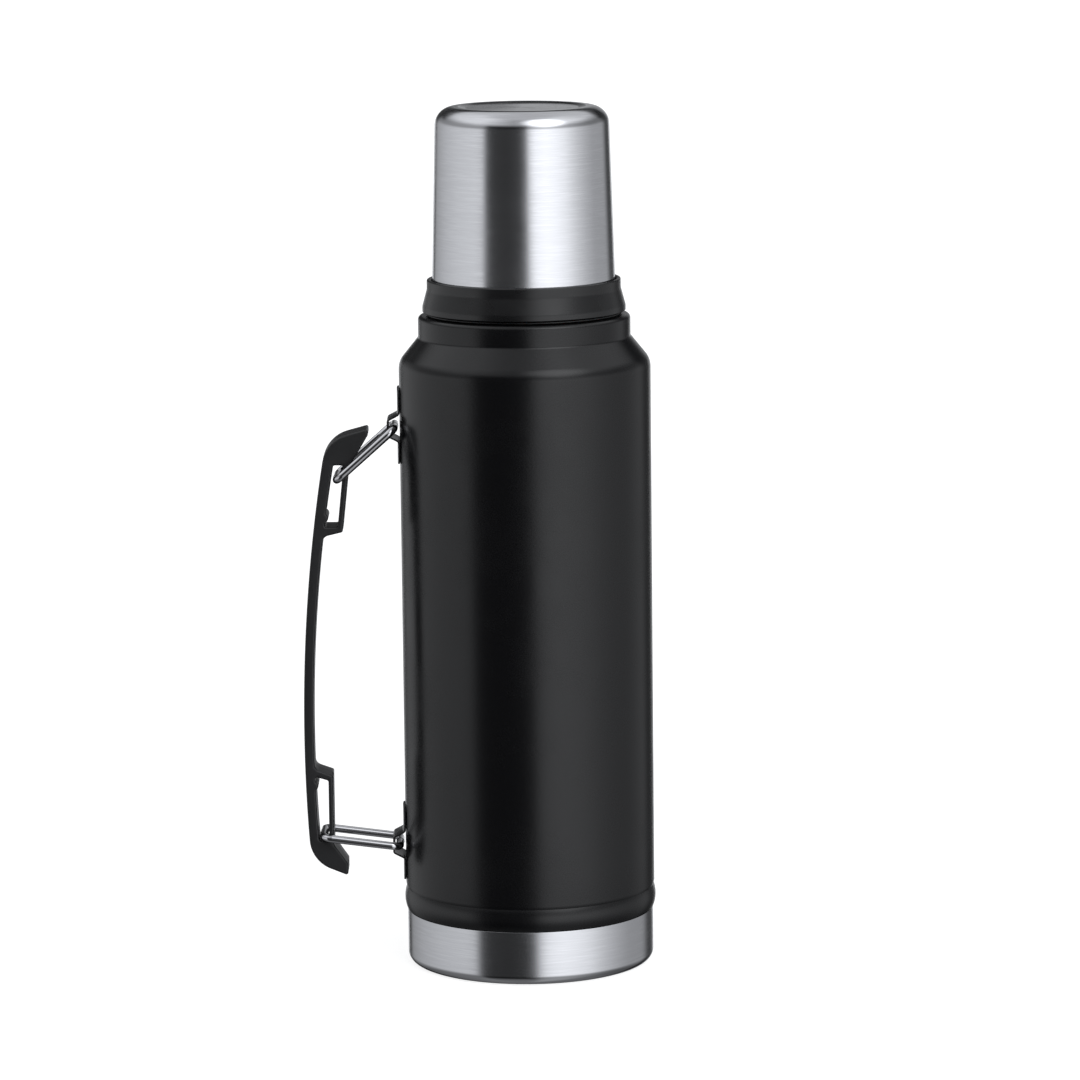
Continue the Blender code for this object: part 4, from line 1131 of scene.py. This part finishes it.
def build_knob(sizes):
    """The fluted knob on top of the stopper, with a shallow dish in its top."""
    low, high = bottom("stopper_cap"), top("stopper_cap")
    foot_radius = radius("stopper_body")
    top_radius = foot_radius - 2.4 * MM
    dish = top_radius - 7 * MM
    depth = 0.8 * MM
    edge = 1 * MM
    outline = divided(rounded([
        (0, low, 0),
        (foot_radius, low, edge),
        (top_radius, high, sizes.knob_round),
        (dish + 2 * depth, high, edge),
        (dish, high - depth, edge),
        (0, high - depth, 0),
    ], steps=10), longest=0.8 * MM)
    flute_foot, flute_rise = 1.5 * MM, 3 * MM  # above the knob's foot
    flute_inset, flute_run_in = 3 * MM, 2 * MM  # outside the dish
    sharpness = 1.6  # how narrow the flutes are against the ribs between them

    def fluted(r, z, angle):
        """The radius with finger flutes that run out just above the knob's foot."""
        rise = smooth_step((z - low - flute_foot) / flute_rise)
        rim = smooth_step((r - dish - flute_inset) / flute_run_in)
        wave = (0.5 + 0.5 * math.cos(sizes.flutes * angle)) ** sharpness
        return r - sizes.flute_depth * wave * rise * rim

    add_piece("stopper_knob", turned(outline, KNOB_SIDES, fluted))


# ---- Brackets and links -------------------------------------------------------------------------


def build_bracket(sizes, which):
    """A pressed plate curved to the shell, with a strap over the wire and four spot welds."""
    pivot = joint_place(f"{which}_link_swing")
    low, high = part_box(f"{which}_bracket")
    shell = -(pivot.x + sizes.wire / 2 + sizes.shell_gap)
    face = WELD_GAP + sizes.plate
    crown = sizes.shell_gap + sizes.wire + sizes.run_gap + sizes.strap
    foot = sizes.strap_foot / 2
    flat = sizes.strap_flat / 2
    bend = 1.1 * MM
    half_width = (high.y - low.y) / 2
    line = divided(rounded([
        (face, low.z, 0), (face, pivot.z - foot, bend), (crown, pivot.z - flat, bend),
        (crown, pivot.z + flat, bend), (face, pivot.z + foot, bend), (face, high.z, 0),
    ], steps=6), longest=0.45 * MM)
    weld_aside, weld_inset, weld_spread, weld_dent = 3 * MM, 3.4 * MM, 1.1 * MM, 0.16 * MM
    weld_heights = (low.z + weld_inset, high.z - weld_inset)
    welds = [(side * weld_aside, z) for side in (-1, 1) for z in weld_heights]
    columns = 30

    def surface(points, dent_depth):
        """One side of the sheet, as rows of points across it."""
        rows = []
        for (off, z), (over, _) in zip(points, line):
            from_end = min(z - low.z, high.z - z)
            inside = max(0.0, sizes.plate_corner - max(0.0, from_end))
            trim = sizes.plate_corner - math.sqrt(max(0.0, sizes.plate_corner**2 - inside**2))
            rise = smooth_step((over - face) / (crown - face))
            row = []
            for k in range(columns + 1):
                y = (half_width - trim) * (2 * k / columns - 1)
                drop = (shell - math.sqrt(shell**2 - y**2)) * (1 - rise)
                dent = sum(
                    math.exp(-((y - a) ** 2 + (z - b) ** 2) / weld_spread**2) for a, b in welds
                )
                row.append((-shell - off + drop + dent_depth * dent, y, z))
            rows.append(row)
        return rows

    shape = bmesh.new()
    outer, inner = (
        [[shape.verts.new(point) for point in row] for row in surface(points, dent)]
        for points, dent in ((line, weld_dent), (moved_line(line, sizes.plate), 0))
    )
    last = len(outer) - 1
    for i in range(last):
        for k in range(columns):
            shape.faces.new((outer[i][k], outer[i][k + 1], outer[i + 1][k + 1], outer[i + 1][k]))
            shape.faces.new((inner[i][k], inner[i + 1][k], inner[i + 1][k + 1], inner[i][k + 1]))
        for k in (0, columns):
            shape.faces.new((outer[i][k], outer[i + 1][k], inner[i + 1][k], inner[i][k]))
    for i in (0, last):
        for k in range(columns):
            shape.faces.new((outer[i][k], outer[i][k + 1], inner[i][k + 1], inner[i][k]))
    add_piece(f"{which}_strap", shape, bevel=0.12 * MM)


def build_link(sizes, which, rest):
    """A closed loop of wire that hangs by its inner bar, where its two ends are welded."""
    wire = sizes.wire / 2
    low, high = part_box(f"{which}_link")
    half = (high.y - low.y) / 2 - wire
    length = link_length()
    corners = [(0, -half), (0, half), (-length, half), (-length, -half)]
    bend_steps = 12
    path = rounded([(x, y, sizes.bend) for x, y in corners], closed=True, steps=bend_steps)
    path = path[bend_steps + 1:] + path[:bend_steps + 1]
    path += divided([path[-1], path[0]], longest=0.25 * MM)[1:-1]
    weld_spread = 0.45 * MM
    sides = 28
    sections = []
    for i, point in enumerate(path):
        before, after = path[i - 1], path[(i + 1) % len(path)]
        run = (Vector(after) - Vector(before)).normalized()
        aside = Vector((-run.y, run.x))
        on_bar = abs(point[0]) < ON_AXIS
        ridge = sizes.weld * math.exp(-((point[1] / weld_spread) ** 2)) if on_bar else 0
        section = []
        for k in range(sides):
            angle = math.tau * k / sides
            out = (wire + ridge) * math.cos(angle)
            rise = (wire + ridge) * math.sin(angle)
            section.append((point[0] + aside.x * out, point[1] + aside.y * out, rise))
        sections.append(section)
    pivot = joint_place(f"{which}_link_swing")
    place = Matrix.Translation(pivot) @ Matrix.Rotation(rest, 4, "Y")
    add_piece(f"{which}_wire", lofted(sections, closed=True), place)


# ---- Handle -------------------------------------------------------------------------------------


class HandlePlan:
    """The handle's outlines in the flask's middle plane, worked out from the bars it hangs on."""

    LOWER_PLAY = 0.4 * MM  # between the lower bar and its slot's sides
    UPPER_PLAY = 0.45 * MM  # between the upper bar and the leaning strip
    GRIP_PLAY = 0.65 * MM  # and between the upper bar and the grip
    LEAN = 0.1056  # how far the strip leans out for each length it rises
    HEADROOM = 5.05 * MM  # over the middle of the upper bar
    TIP = (11.3 * MM, 18 * MM)  # the cheek's point, from the upper bar
    TIP_HEIGHT = 2.3 * MM
    CHEEK_FALL = 0.28  # how the top falls towards the grip
    HOOK = (8.5 * MM, -14.5 * MM)  # the hook's point, from the lower bar
    HOOK_HEIGHT = 4.4 * MM
    HEEL_RISE = 0.42  # how the underside rises towards the grip
    THROAT = 3.1 * MM  # from the lower bar down to the hook's throat
    FALL = 1.4 * MM  # how much lower a slot's or a bridge's strip end is than its grip end
    ROOT_ROUND = 2.5 * MM
    EDGE = 0.8 * MM
    SLOT_CORNER, GRIP_CORNER, FLOOR_CORNER = 0.75 * MM, 0.6 * MM, 1.2 * MM
    CATCH_INSET = 3.3 * MM  # from a slot's end to its catch's middle
    CATCH_END = 6 * MM  # and to where its side runs on past the catch
    CATCH_ROUND = 1.7  # radius of the catch, for each length it stands out
    CATCH_TRIM = 4  # degrees left off each end of the catch's arc
    ROOF_TRIM, FLOOR_TRIM = 1.8 * MM, 2.4 * MM  # from a slot's end to its side's last point
    UPPER_ROOT = 1.6 * MM  # how far the upper bridge's root lies under the bridge
    ROOT_TRIM = 5 * MM  # from that root to the grip's first point under it
    STRIP_SHOULDER = 1 * MM  # from the slot's top down to the strip's outer corner

    def __init__(self, scene):
        links = scene.flask_links
        self.sizes = scene.flask_handle
        wire = links.wire / 2
        lower, swing = joint_place("handle_turn"), joint_place("upper_link_swing")
        length = link_length()
        self.lower = (lower.x, lower.z)
        self.upper = (
            swing.x - length * math.cos(links.upper_rest),
            swing.z + length * math.sin(links.upper_rest),
        )
        low = Vector((self.lower[0] - wire - self.LOWER_PLAY, self.lower[1]))
        high = Vector((self.upper[0] - wire - self.GRIP_PLAY, self.upper[1]))
        chord = high - low
        reach = math.sqrt(self.sizes.inner_arc**2 - chord.length_squared / 4)
        self.centre = (low + high) / 2 + Vector((chord.y, -chord.x)).normalized() * reach
        self.slot_top = self.upper[1] + self.HEADROOM
        self.slot_floor = self.lower[1] - wire - self.LOWER_PLAY
        self.lower_side = self.lower[0] + wire + self.LOWER_PLAY
        self.upper_side = self.upper[0] + wire + self.UPPER_PLAY

    def inner(self, z):
        """The side of the grip that faces the flask."""
        return self.centre.x - math.sqrt(self.sizes.inner_arc**2 - (z - self.centre.y) ** 2)

    def outer(self, z):
        """The side of the grip that faces away."""
        shift = self.sizes.outer_arc - self.sizes.inner_arc - self.sizes.grip
        return self.centre.x + shift - math.sqrt(self.sizes.outer_arc**2 - (z - self.centre.y) ** 2)

    def strip(self, z):
        """The slot side of the leaning strip that closes the upper slot."""
        return self.upper_side + self.LEAN * (z - self.upper[1])

    def along(self, side, z_from, z_to, steps=14):
        heights = [z_from + (z_to - z_from) * i / steps for i in range(steps + 1)]
        return [(side(z), z, 0) for z in heights]

    def catch(self, z):
        """The low round bump that the wire snaps past."""
        round_radius = self.CATCH_ROUND * self.sizes.catch
        sunk = round_radius - self.sizes.catch
        spread = math.degrees(math.acos(sunk / round_radius)) - self.CATCH_TRIM
        bump = arc((self.inner(z) - sunk, z), round_radius, -spread, spread, steps=10)
        return [(x, height, 0) for x, height in bump]

    def upper_slot(self):
        roof, base = self.slot_top, self.slot_top - self.sizes.slot_length
        return rounded([
            (self.inner(roof), roof, self.SLOT_CORNER),
            (self.strip(roof), roof, self.SLOT_CORNER),
            (self.strip(base), base, self.SLOT_CORNER),
            (self.inner(base), base, self.GRIP_CORNER),
            *self.catch(base + self.CATCH_INSET),
            *self.along(self.inner, base + self.CATCH_END, roof - self.ROOF_TRIM),
        ], closed=True, steps=6)

    def lower_slot(self):
        floor = self.slot_floor
        roof = floor + self.sizes.slot_length + self.FALL
        return rounded([
            (self.lower_side, floor, self.FLOOR_CORNER),
            (self.lower_side, roof - self.FALL, self.SLOT_CORNER),
            (self.inner(roof), roof, self.GRIP_CORNER),
            *self.catch(roof - self.CATCH_INSET)[::-1],
            *self.along(self.inner, roof - self.CATCH_END, floor + self.FLOOR_TRIM),
            (self.inner(floor), floor, self.FLOOR_CORNER),
        ], closed=True, steps=6)

    def outside(self):
        """Band, cheek, hook, strips and bridges."""
        sizes, edge = self.sizes, self.EDGE
        tip_x, tip_z = self.upper[0] + self.TIP[0], self.upper[1] + self.TIP[1]
        cheek = tip_z - self.CHEEK_FALL * (tip_x - self.outer(tip_z))
        hook_x, hook_z = self.lower[0] + self.HOOK[0], self.lower[1] + self.HOOK[1]
        heel = hook_z + self.HEEL_RISE * (hook_x - self.outer(hook_z))
        back = self.lower_side + sizes.lower_strip
        lower_bridge = self.slot_floor + sizes.slot_length + sizes.bridge
        lower_root = lower_bridge + self.FALL
        upper_bridge = self.slot_top - sizes.slot_length - sizes.bridge
        upper_root = upper_bridge - self.UPPER_ROOT
        strip_top = self.slot_top - self.STRIP_SHOULDER
        grip_low, grip_high = lower_bridge + 3 * sizes.bridge, upper_root - self.ROOT_TRIM
        return rounded([
            (tip_x, tip_z, edge),
            (self.outer(cheek), cheek, sizes.corner),
            *self.along(self.outer, cheek - sizes.corner, heel + sizes.corner, 60),
            (self.outer(heel), heel, sizes.corner),
            (hook_x, hook_z, edge),
            (hook_x, hook_z + self.HOOK_HEIGHT, edge),
            (back, self.lower[1] - self.THROAT, 3 * edge),
            (back, lower_bridge, edge),
            (self.inner(lower_root), lower_root + sizes.bridge / 2, self.ROOT_ROUND),
            *self.along(self.inner, grip_low, grip_high, 50),
            (self.inner(upper_root), upper_root, self.ROOT_ROUND),
            (self.strip(upper_bridge) + sizes.upper_strip, upper_bridge, edge),
            (self.strip(self.slot_top) + sizes.upper_strip, strip_top, 3 * edge),
            (tip_x, tip_z - self.TIP_HEIGHT, edge),
        ], closed=True, steps=14)


def signed_area(loop):
    return sum(a[0] * b[1] - b[0] * a[1] for a, b in zip(loop, loop[1:] + loop[:1])) / 2


def handle_profile(sizes, half):
    """(inset, y) across the moulding: a rounded edge, the parting line, a rounded edge."""
    edge, steps = sizes.edge, 5
    turns = [math.pi / 2 * i / steps for i in range(steps + 1)]
    ridge_foot, ridge_tip, tip_inset = 0.12 * MM, 0.04 * MM, 0.01 * MM
    near = [
        (sizes.parting + edge * (1 - math.sin(a)), edge * (1 - math.cos(a)) - half) for a in turns
    ]
    near += [(sizes.parting, -ridge_foot), (tip_inset, -ridge_tip)]
    return near + [(inset, -y) for inset, y in near[::-1]]


def build_handle(scene):
    """The moulded handle: rounded long edges, a parting line round its middle, two slots."""
    plan = HandlePlan(scene)
    low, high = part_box("handle")
    profile = handle_profile(scene.flask_handle, (high.y - low.y) / 2)
    shape = bmesh.new()
    faces_at = {0: [], len(profile) - 1: []}
    # The plastic lies inside the outside's loop, and outside a slot's.
    loops = ((plan.outside(), 1), (plan.upper_slot(), -1), (plan.lower_slot(), -1))
    for loop, side in loops:
        into_plastic = side if signed_area(loop) > 0 else -side
        rings = []
        for inset, y in profile:
            moved = moved_line(loop, into_plastic * inset, closed=True)
            rings.append([shape.verts.new((x, y, z)) for x, z in moved])
        count = len(loop)
        for first, second in zip(rings, rings[1:]):
            for k in range(count):
                after = (k + 1) % count
                shape.faces.new((first[k], first[after], second[after], second[k]))
        for i, held in faces_at.items():
            ring = rings[i]
            held += [shape.edges.get((ring[k], ring[(k + 1) % count])) for k in range(count)]
    for held in faces_at.values():
        bmesh.ops.triangle_fill(shape, edges=held, use_beauty=True, use_dissolve=False)
    add_piece("handle_moulding", shape)


# ---- Stage --------------------------------------------------------------------------------------

SENSOR, LENS = 36, 171.93  # mm
CAMERA_TURN = (9.1966, 0.1511, -0.6151)  # degrees down, to the right and rolled
FLOOR_GREY, FLOOR_GLOW = 0.45, 0.8

# Degrees round from the front towards +X, and how bright the studio is there: its walls, and above.
WALLS = (
    (-180, 0.2), (-176, 0.05), (-155, 0.04), (-147, 0.28), (-120, 0.43), (-94, 0.53), (-64, 0.6),
    (-54, 0.58), (-47, 0.07), (-38, 0.035), (-20, 0.03), (-4, 0.04), (4, 0.12), (9, 0.7),
    (16, 1.0), (30, 1.08), (44, 1.0), (57, 0.86), (66, 0.7), (76, 0.56), (88, 0.43), (104, 0.32),
    (130, 0.29), (142, 0.05), (158, 0.05), (166, 0.34), (180, 0.3),
)
UPPER = (
    (-180, 0.4), (-130, 0.62), (-70, 0.7), (-35, 0.42), (-12, 0.27), (12, 0.4), (35, 0.8),
    (70, 0.74), (120, 0.5), (180, 0.4),
)
# The rest is placed by how far up a direction points, z, or how far back, y, both from -1 to 1.
# Each pair is where a change starts and where it is whole.
WALL_FADE, WALL_TOP = (0.04, 0.24), 0.5  # the walls dim upwards to this share
UPPER_RISE = (0.32, 0.66)  # the upper levels take over from the walls
CEILING_RISE, CEILING = (0.86, 0.98), 0.42
BELOW_FADE, BELOW = (-0.6, -0.08), 0.25  # below the horizon all dims to this share
GROUND_FADE, GROUND = (-0.95, -0.5), 0.12
# A dark gap behind, over the horizon.
GAP_BEHIND, GAP_FOOT, GAP_HEAD, GAP_SHADE = (0.55, 0.8), (0.24, 0.32), (0.5, 0.62), 0.15
# A bright strip behind, up to the horizon. It draws a rim of light on the flask's sides.
STRIP_BEHIND, STRIP_HEAD, STRIP = (0.91, 0.955), (0.06, -0.04), 0.55
LAMP_PLACE = (36, 42)  # degrees round and up
LAMP_REACH = (30, 3)  # degrees from its middle, where it fades in and where it is full
DAYLIGHT, WHITE = (0.96, 0.975, 1.0, 1), (1, 1, 1, 1)


def add_camera(settings):
    """The camera in front of the flask, looking a little down on it."""
    data = bpy.data.cameras.new("studio_camera")
    data.sensor_width = SENSOR
    data.lens = LENS
    camera = bpy.data.objects.new("studio_camera", data)
    bpy.context.scene.collection.objects.link(camera)
    pitch, yaw, roll = (math.radians(angle) for angle in CAMERA_TURN)
    ahead = Vector((
        math.sin(yaw) * math.cos(pitch), math.cos(yaw) * math.cos(pitch), -math.sin(pitch),
    ))
    right = Vector((math.cos(yaw), -math.sin(yaw), 0))
    above = right.cross(ahead)
    turned_right = right * math.cos(roll) + above * math.sin(roll)
    turned_above = above * math.cos(roll) - right * math.sin(roll)
    turn = Matrix((turned_right, turned_above, -ahead)).transposed().to_4x4()
    stand = Matrix.Translation((0, -settings.camera_distance, settings.camera_height))
    camera.matrix_world = stand @ turn
    bpy.context.scene.camera = camera


def add_floor(settings):
    """A plain pale floor that glows a little, so that only a soft shadow shows on it."""
    shape = bmesh.new()
    bmesh.ops.create_grid(shape, x_segments=2, y_segments=2, size=settings.floor_size / 2)
    mesh = bpy.data.meshes.new("studio_floor")
    shape.to_mesh(mesh)
    shape.free()
    material, _, _ = new_material(
        "studio_floor", base_color=(FLOOR_GREY, FLOOR_GREY, FLOOR_GREY, 1), roughness=0.9,
        specular_ior_level=0.0, emission_color=WHITE, emission_strength=FLOOR_GLOW,
    )
    mesh.materials.append(material)
    floor = bpy.data.objects.new("studio_floor", mesh)
    bpy.context.scene.collection.objects.link(floor)
    floor.visible_glossy = False
    floor.visible_diffuse = False


def round_ramp(tree, share, levels):
    """The brightness round the studio, from pairs of degrees and brightness."""
    ramp = add_node(tree, "ShaderNodeValToRGB", {0: share})
    stops = ramp.color_ramp.elements
    stops.remove(stops[-1])
    for i, (degrees, bright) in enumerate(levels):
        at = degrees / 360 + 0.5
        stop = stops[0] if i == 0 else stops.new(at)
        stop.position = at
        stop.color = (bright, bright, bright, 1)
    return ramp.outputs["Color"]


def mixed_value(tree, fac, first, second):
    """A plain value between two others."""
    return add_node(tree, "ShaderNodeMix", {0: fac, 2: first, 3: second}).outputs[0]


def studio_brightness(tree, place, lamp_brightness):
    """How bright the studio is in the direction of place: walls, ceiling, ground and lamp."""
    x, y, z = add_node(tree, "ShaderNodeSeparateXYZ", {0: place}).outputs
    turn = worked_out(tree, "ARCTAN2", x, times(tree, y, -1.0))
    share = worked_out(tree, "MULTIPLY_ADD", turn, 1 / math.tau, 0.5)
    walls = times(tree, round_ramp(tree, share, WALLS), mapped(tree, z, 1.0, WALL_TOP, *WALL_FADE))
    upper = round_ramp(tree, share, UPPER)
    sides = mixed_value(tree, share_of(tree, z, *UPPER_RISE), walls, upper)
    above = mixed_value(tree, share_of(tree, z, *CEILING_RISE), sides, CEILING)
    lit = times(tree, above, mapped(tree, z, BELOW, 1.0, *BELOW_FADE))
    grounded = worked_out(tree, "MAXIMUM", lit, mapped(tree, z, GROUND, 0.0, *GROUND_FADE))
    gap_band = times(tree, share_of(tree, z, *GAP_FOOT), mapped(tree, z, 1.0, 0.0, *GAP_HEAD))
    gap = times(tree, share_of(tree, y, *GAP_BEHIND), gap_band)
    shaded = times(tree, grounded, mapped(tree, gap, 1.0, GAP_SHADE))
    bright_back = mapped(tree, y, 0.0, STRIP, *STRIP_BEHIND)
    strip = times(tree, bright_back, share_of(tree, z, *STRIP_HEAD))
    room = worked_out(tree, "MAXIMUM", shaded, strip)
    round_from_front, up = (math.radians(angle) for angle in LAMP_PLACE)
    aim = (
        math.sin(round_from_front) * math.cos(up), -math.cos(round_from_front) * math.cos(up),
        math.sin(up),
    )
    facing = add_node(tree, "ShaderNodeVectorMath", {0: place, 1: aim}, operation="DOT_PRODUCT")
    far, near = (math.cos(math.radians(angle)) for angle in LAMP_REACH)
    return plus(tree, room, mapped(tree, facing.outputs["Value"], 0.0, lamp_brightness, far, near))


def add_studio_light(settings):
    """Softly lit studio walls, a lamp, and a white backdrop for what the camera sees directly."""
    world = bpy.data.worlds.new("studio")
    bpy.context.scene.world = world
    world.use_nodes = True
    tree = world.node_tree
    tree.nodes.clear()
    place = add_node(tree, "ShaderNodeTexCoord").outputs["Generated"]
    strength = times(tree, studio_brightness(tree, place, settings.lamp), settings.light)
    studio, seen = (
        add_node(tree, "ShaderNodeBackground", {"Color": colour, "Strength": level}).outputs[0]
        for colour, level in ((DAYLIGHT, strength), (WHITE, settings.backdrop))
    )
    is_camera = add_node(tree, "ShaderNodeLightPath").outputs["Is Camera Ray"]
    mix = add_node(tree, "ShaderNodeMixShader", {0: is_camera, 1: studio, 2: seen})
    add_node(tree, "ShaderNodeOutputWorld", {"Surface": mix.outputs[0]})


# ---- Operators ----------------------------------------------------------------------------------


class FLASK_OT_stage(bpy.types.Operator):
    """Add the camera, the floor and the studio's light"""

    bl_idname = "flask.stage"
    bl_label = "Stage"

    def execute(self, context):
        settings = context.scene.flask_stage
        add_camera(settings)
        add_floor(settings)
        add_studio_light(settings)
        context.scene.view_settings.view_transform = "Standard"
        return {"FINISHED"}


class FLASK_OT_finishes(bpy.types.Operator):
    """Make the node groups that the finishes share"""

    bl_idname = "flask.finishes"
    bl_label = "Shared Effects"

    def execute(self, context):
        for make in GROUP_MAKERS:
            make()
        return {"FINISHED"}


class FLASK_OT_outer_shell(bpy.types.Operator):
    """Make the painted outer shell"""

    bl_idname = "flask.outer_shell"
    bl_label = "Outer Shell"

    def execute(self, context):
        build_outer_shell(context.scene)
        return {"FINISHED"}


class FLASK_OT_base_cup(bpy.types.Operator):
    """Make the steel base cup"""

    bl_idname = "flask.base_cup"
    bl_label = "Base Cup"

    def execute(self, context):
        build_base_cup(context.scene)
        return {"FINISHED"}


class FLASK_OT_vessel(bpy.types.Operator):
    """Make the drinking vessel, its foil, the bottom disc, the getter and the vent's solder"""

    bl_idname = "flask.vessel"
    bl_label = "Vessel"

    def execute(self, context):
        build_vessel(context.scene)
        return {"FINISHED"}


class FLASK_OT_neck_collar(bpy.types.Operator):
    """Make the neck collar, its thread and its gasket"""

    bl_idname = "flask.neck_collar"
    bl_label = "Neck Collar"

    def execute(self, context):
        build_neck_collar(context.scene)
        return {"FINISHED"}


class FLASK_OT_cup(bpy.types.Operator):
    """Make the cup, its liner and its thread"""

    bl_idname = "flask.cup"
    bl_label = "Cup"

    def execute(self, context):
        build_cup(context.scene)
        return {"FINISHED"}


class FLASK_OT_stopper(bpy.types.Operator):
    """Make the stopper's plug, knob, foam and seals"""

    bl_idname = "flask.stopper"
    bl_label = "Stopper"

    def execute(self, context):
        build_stopper(context.scene)
        return {"FINISHED"}


class FLASK_OT_brackets(bpy.types.Operator):
    """Make the two brackets on the shell"""

    bl_idname = "flask.brackets"
    bl_label = "Brackets"

    def execute(self, context):
        for which in ("upper", "lower"):
            build_bracket(context.scene.flask_links, which)
        return {"FINISHED"}


class FLASK_OT_links(bpy.types.Operator):
    """Make the two wire links"""

    bl_idname = "flask.links"
    bl_label = "Wire Links"

    def execute(self, context):
        sizes = context.scene.flask_links
        build_link(sizes, "upper", sizes.upper_rest)
        build_link(sizes, "lower", sizes.lower_rest)
        return {"FINISHED"}


class FLASK_OT_handle(bpy.types.Operator):
    """Make the moulded handle"""

    bl_idname = "flask.handle"
    bl_label = "Handle"

    def execute(self, context):
        build_handle(context.scene)
        return {"FINISHED"}


OPERATORS = (
    FLASK_OT_stage, FLASK_OT_finishes, FLASK_OT_outer_shell, FLASK_OT_base_cup, FLASK_OT_vessel,
    FLASK_OT_neck_collar, FLASK_OT_cup, FLASK_OT_stopper, FLASK_OT_brackets, FLASK_OT_links,
    FLASK_OT_handle,
)
SETTINGS = {
    "flask_stage": FlaskStageSettings, "flask_colours": FlaskColours, "flask_body": FlaskBodySizes,
    "flask_collar": FlaskCollarSizes, "flask_cup": FlaskCupSizes,
    "flask_stopper": FlaskStopperSizes, "flask_links": FlaskLinkSizes,
    "flask_handle": FlaskHandleSizes,
}


class FLASK_PT_sidebar(bpy.types.Panel):
    """The flask's operators, and the sizes and colours that they use"""

    bl_idname = "FLASK_PT_sidebar"
    bl_label = "Vacuum Flask"
    bl_space_type = "VIEW_3D"
    bl_region_type = "UI"
    bl_category = "Flask"

    def draw(self, context):
        for operator in OPERATORS:
            self.layout.operator(operator.bl_idname)
        for label, group in SETTINGS.items():
            box = self.layout.box()
            box.label(text=label.replace("flask_", "").capitalize())
            for name in group.__annotations__:
                box.prop(getattr(context.scene, label), name)


def register():
    for group in SETTINGS.values():
        bpy.utils.register_class(group)
    for label, group in SETTINGS.items():
        setattr(bpy.types.Scene, label, PointerProperty(type=group))
    for each in (*OPERATORS, FLASK_PT_sidebar):
        bpy.utils.register_class(each)


def unregister():
    for each in (FLASK_PT_sidebar, *reversed(OPERATORS)):
        bpy.utils.unregister_class(each)
    for label in SETTINGS:
        delattr(bpy.types.Scene, label)
    for group in reversed(SETTINGS.values()):
        bpy.utils.unregister_class(group)


def main():
    register()
    for operator in OPERATORS:
        group, name = operator.bl_idname.split(".")
        getattr(getattr(bpy.ops, group), name)()


if __name__ == "__main__":
    main()
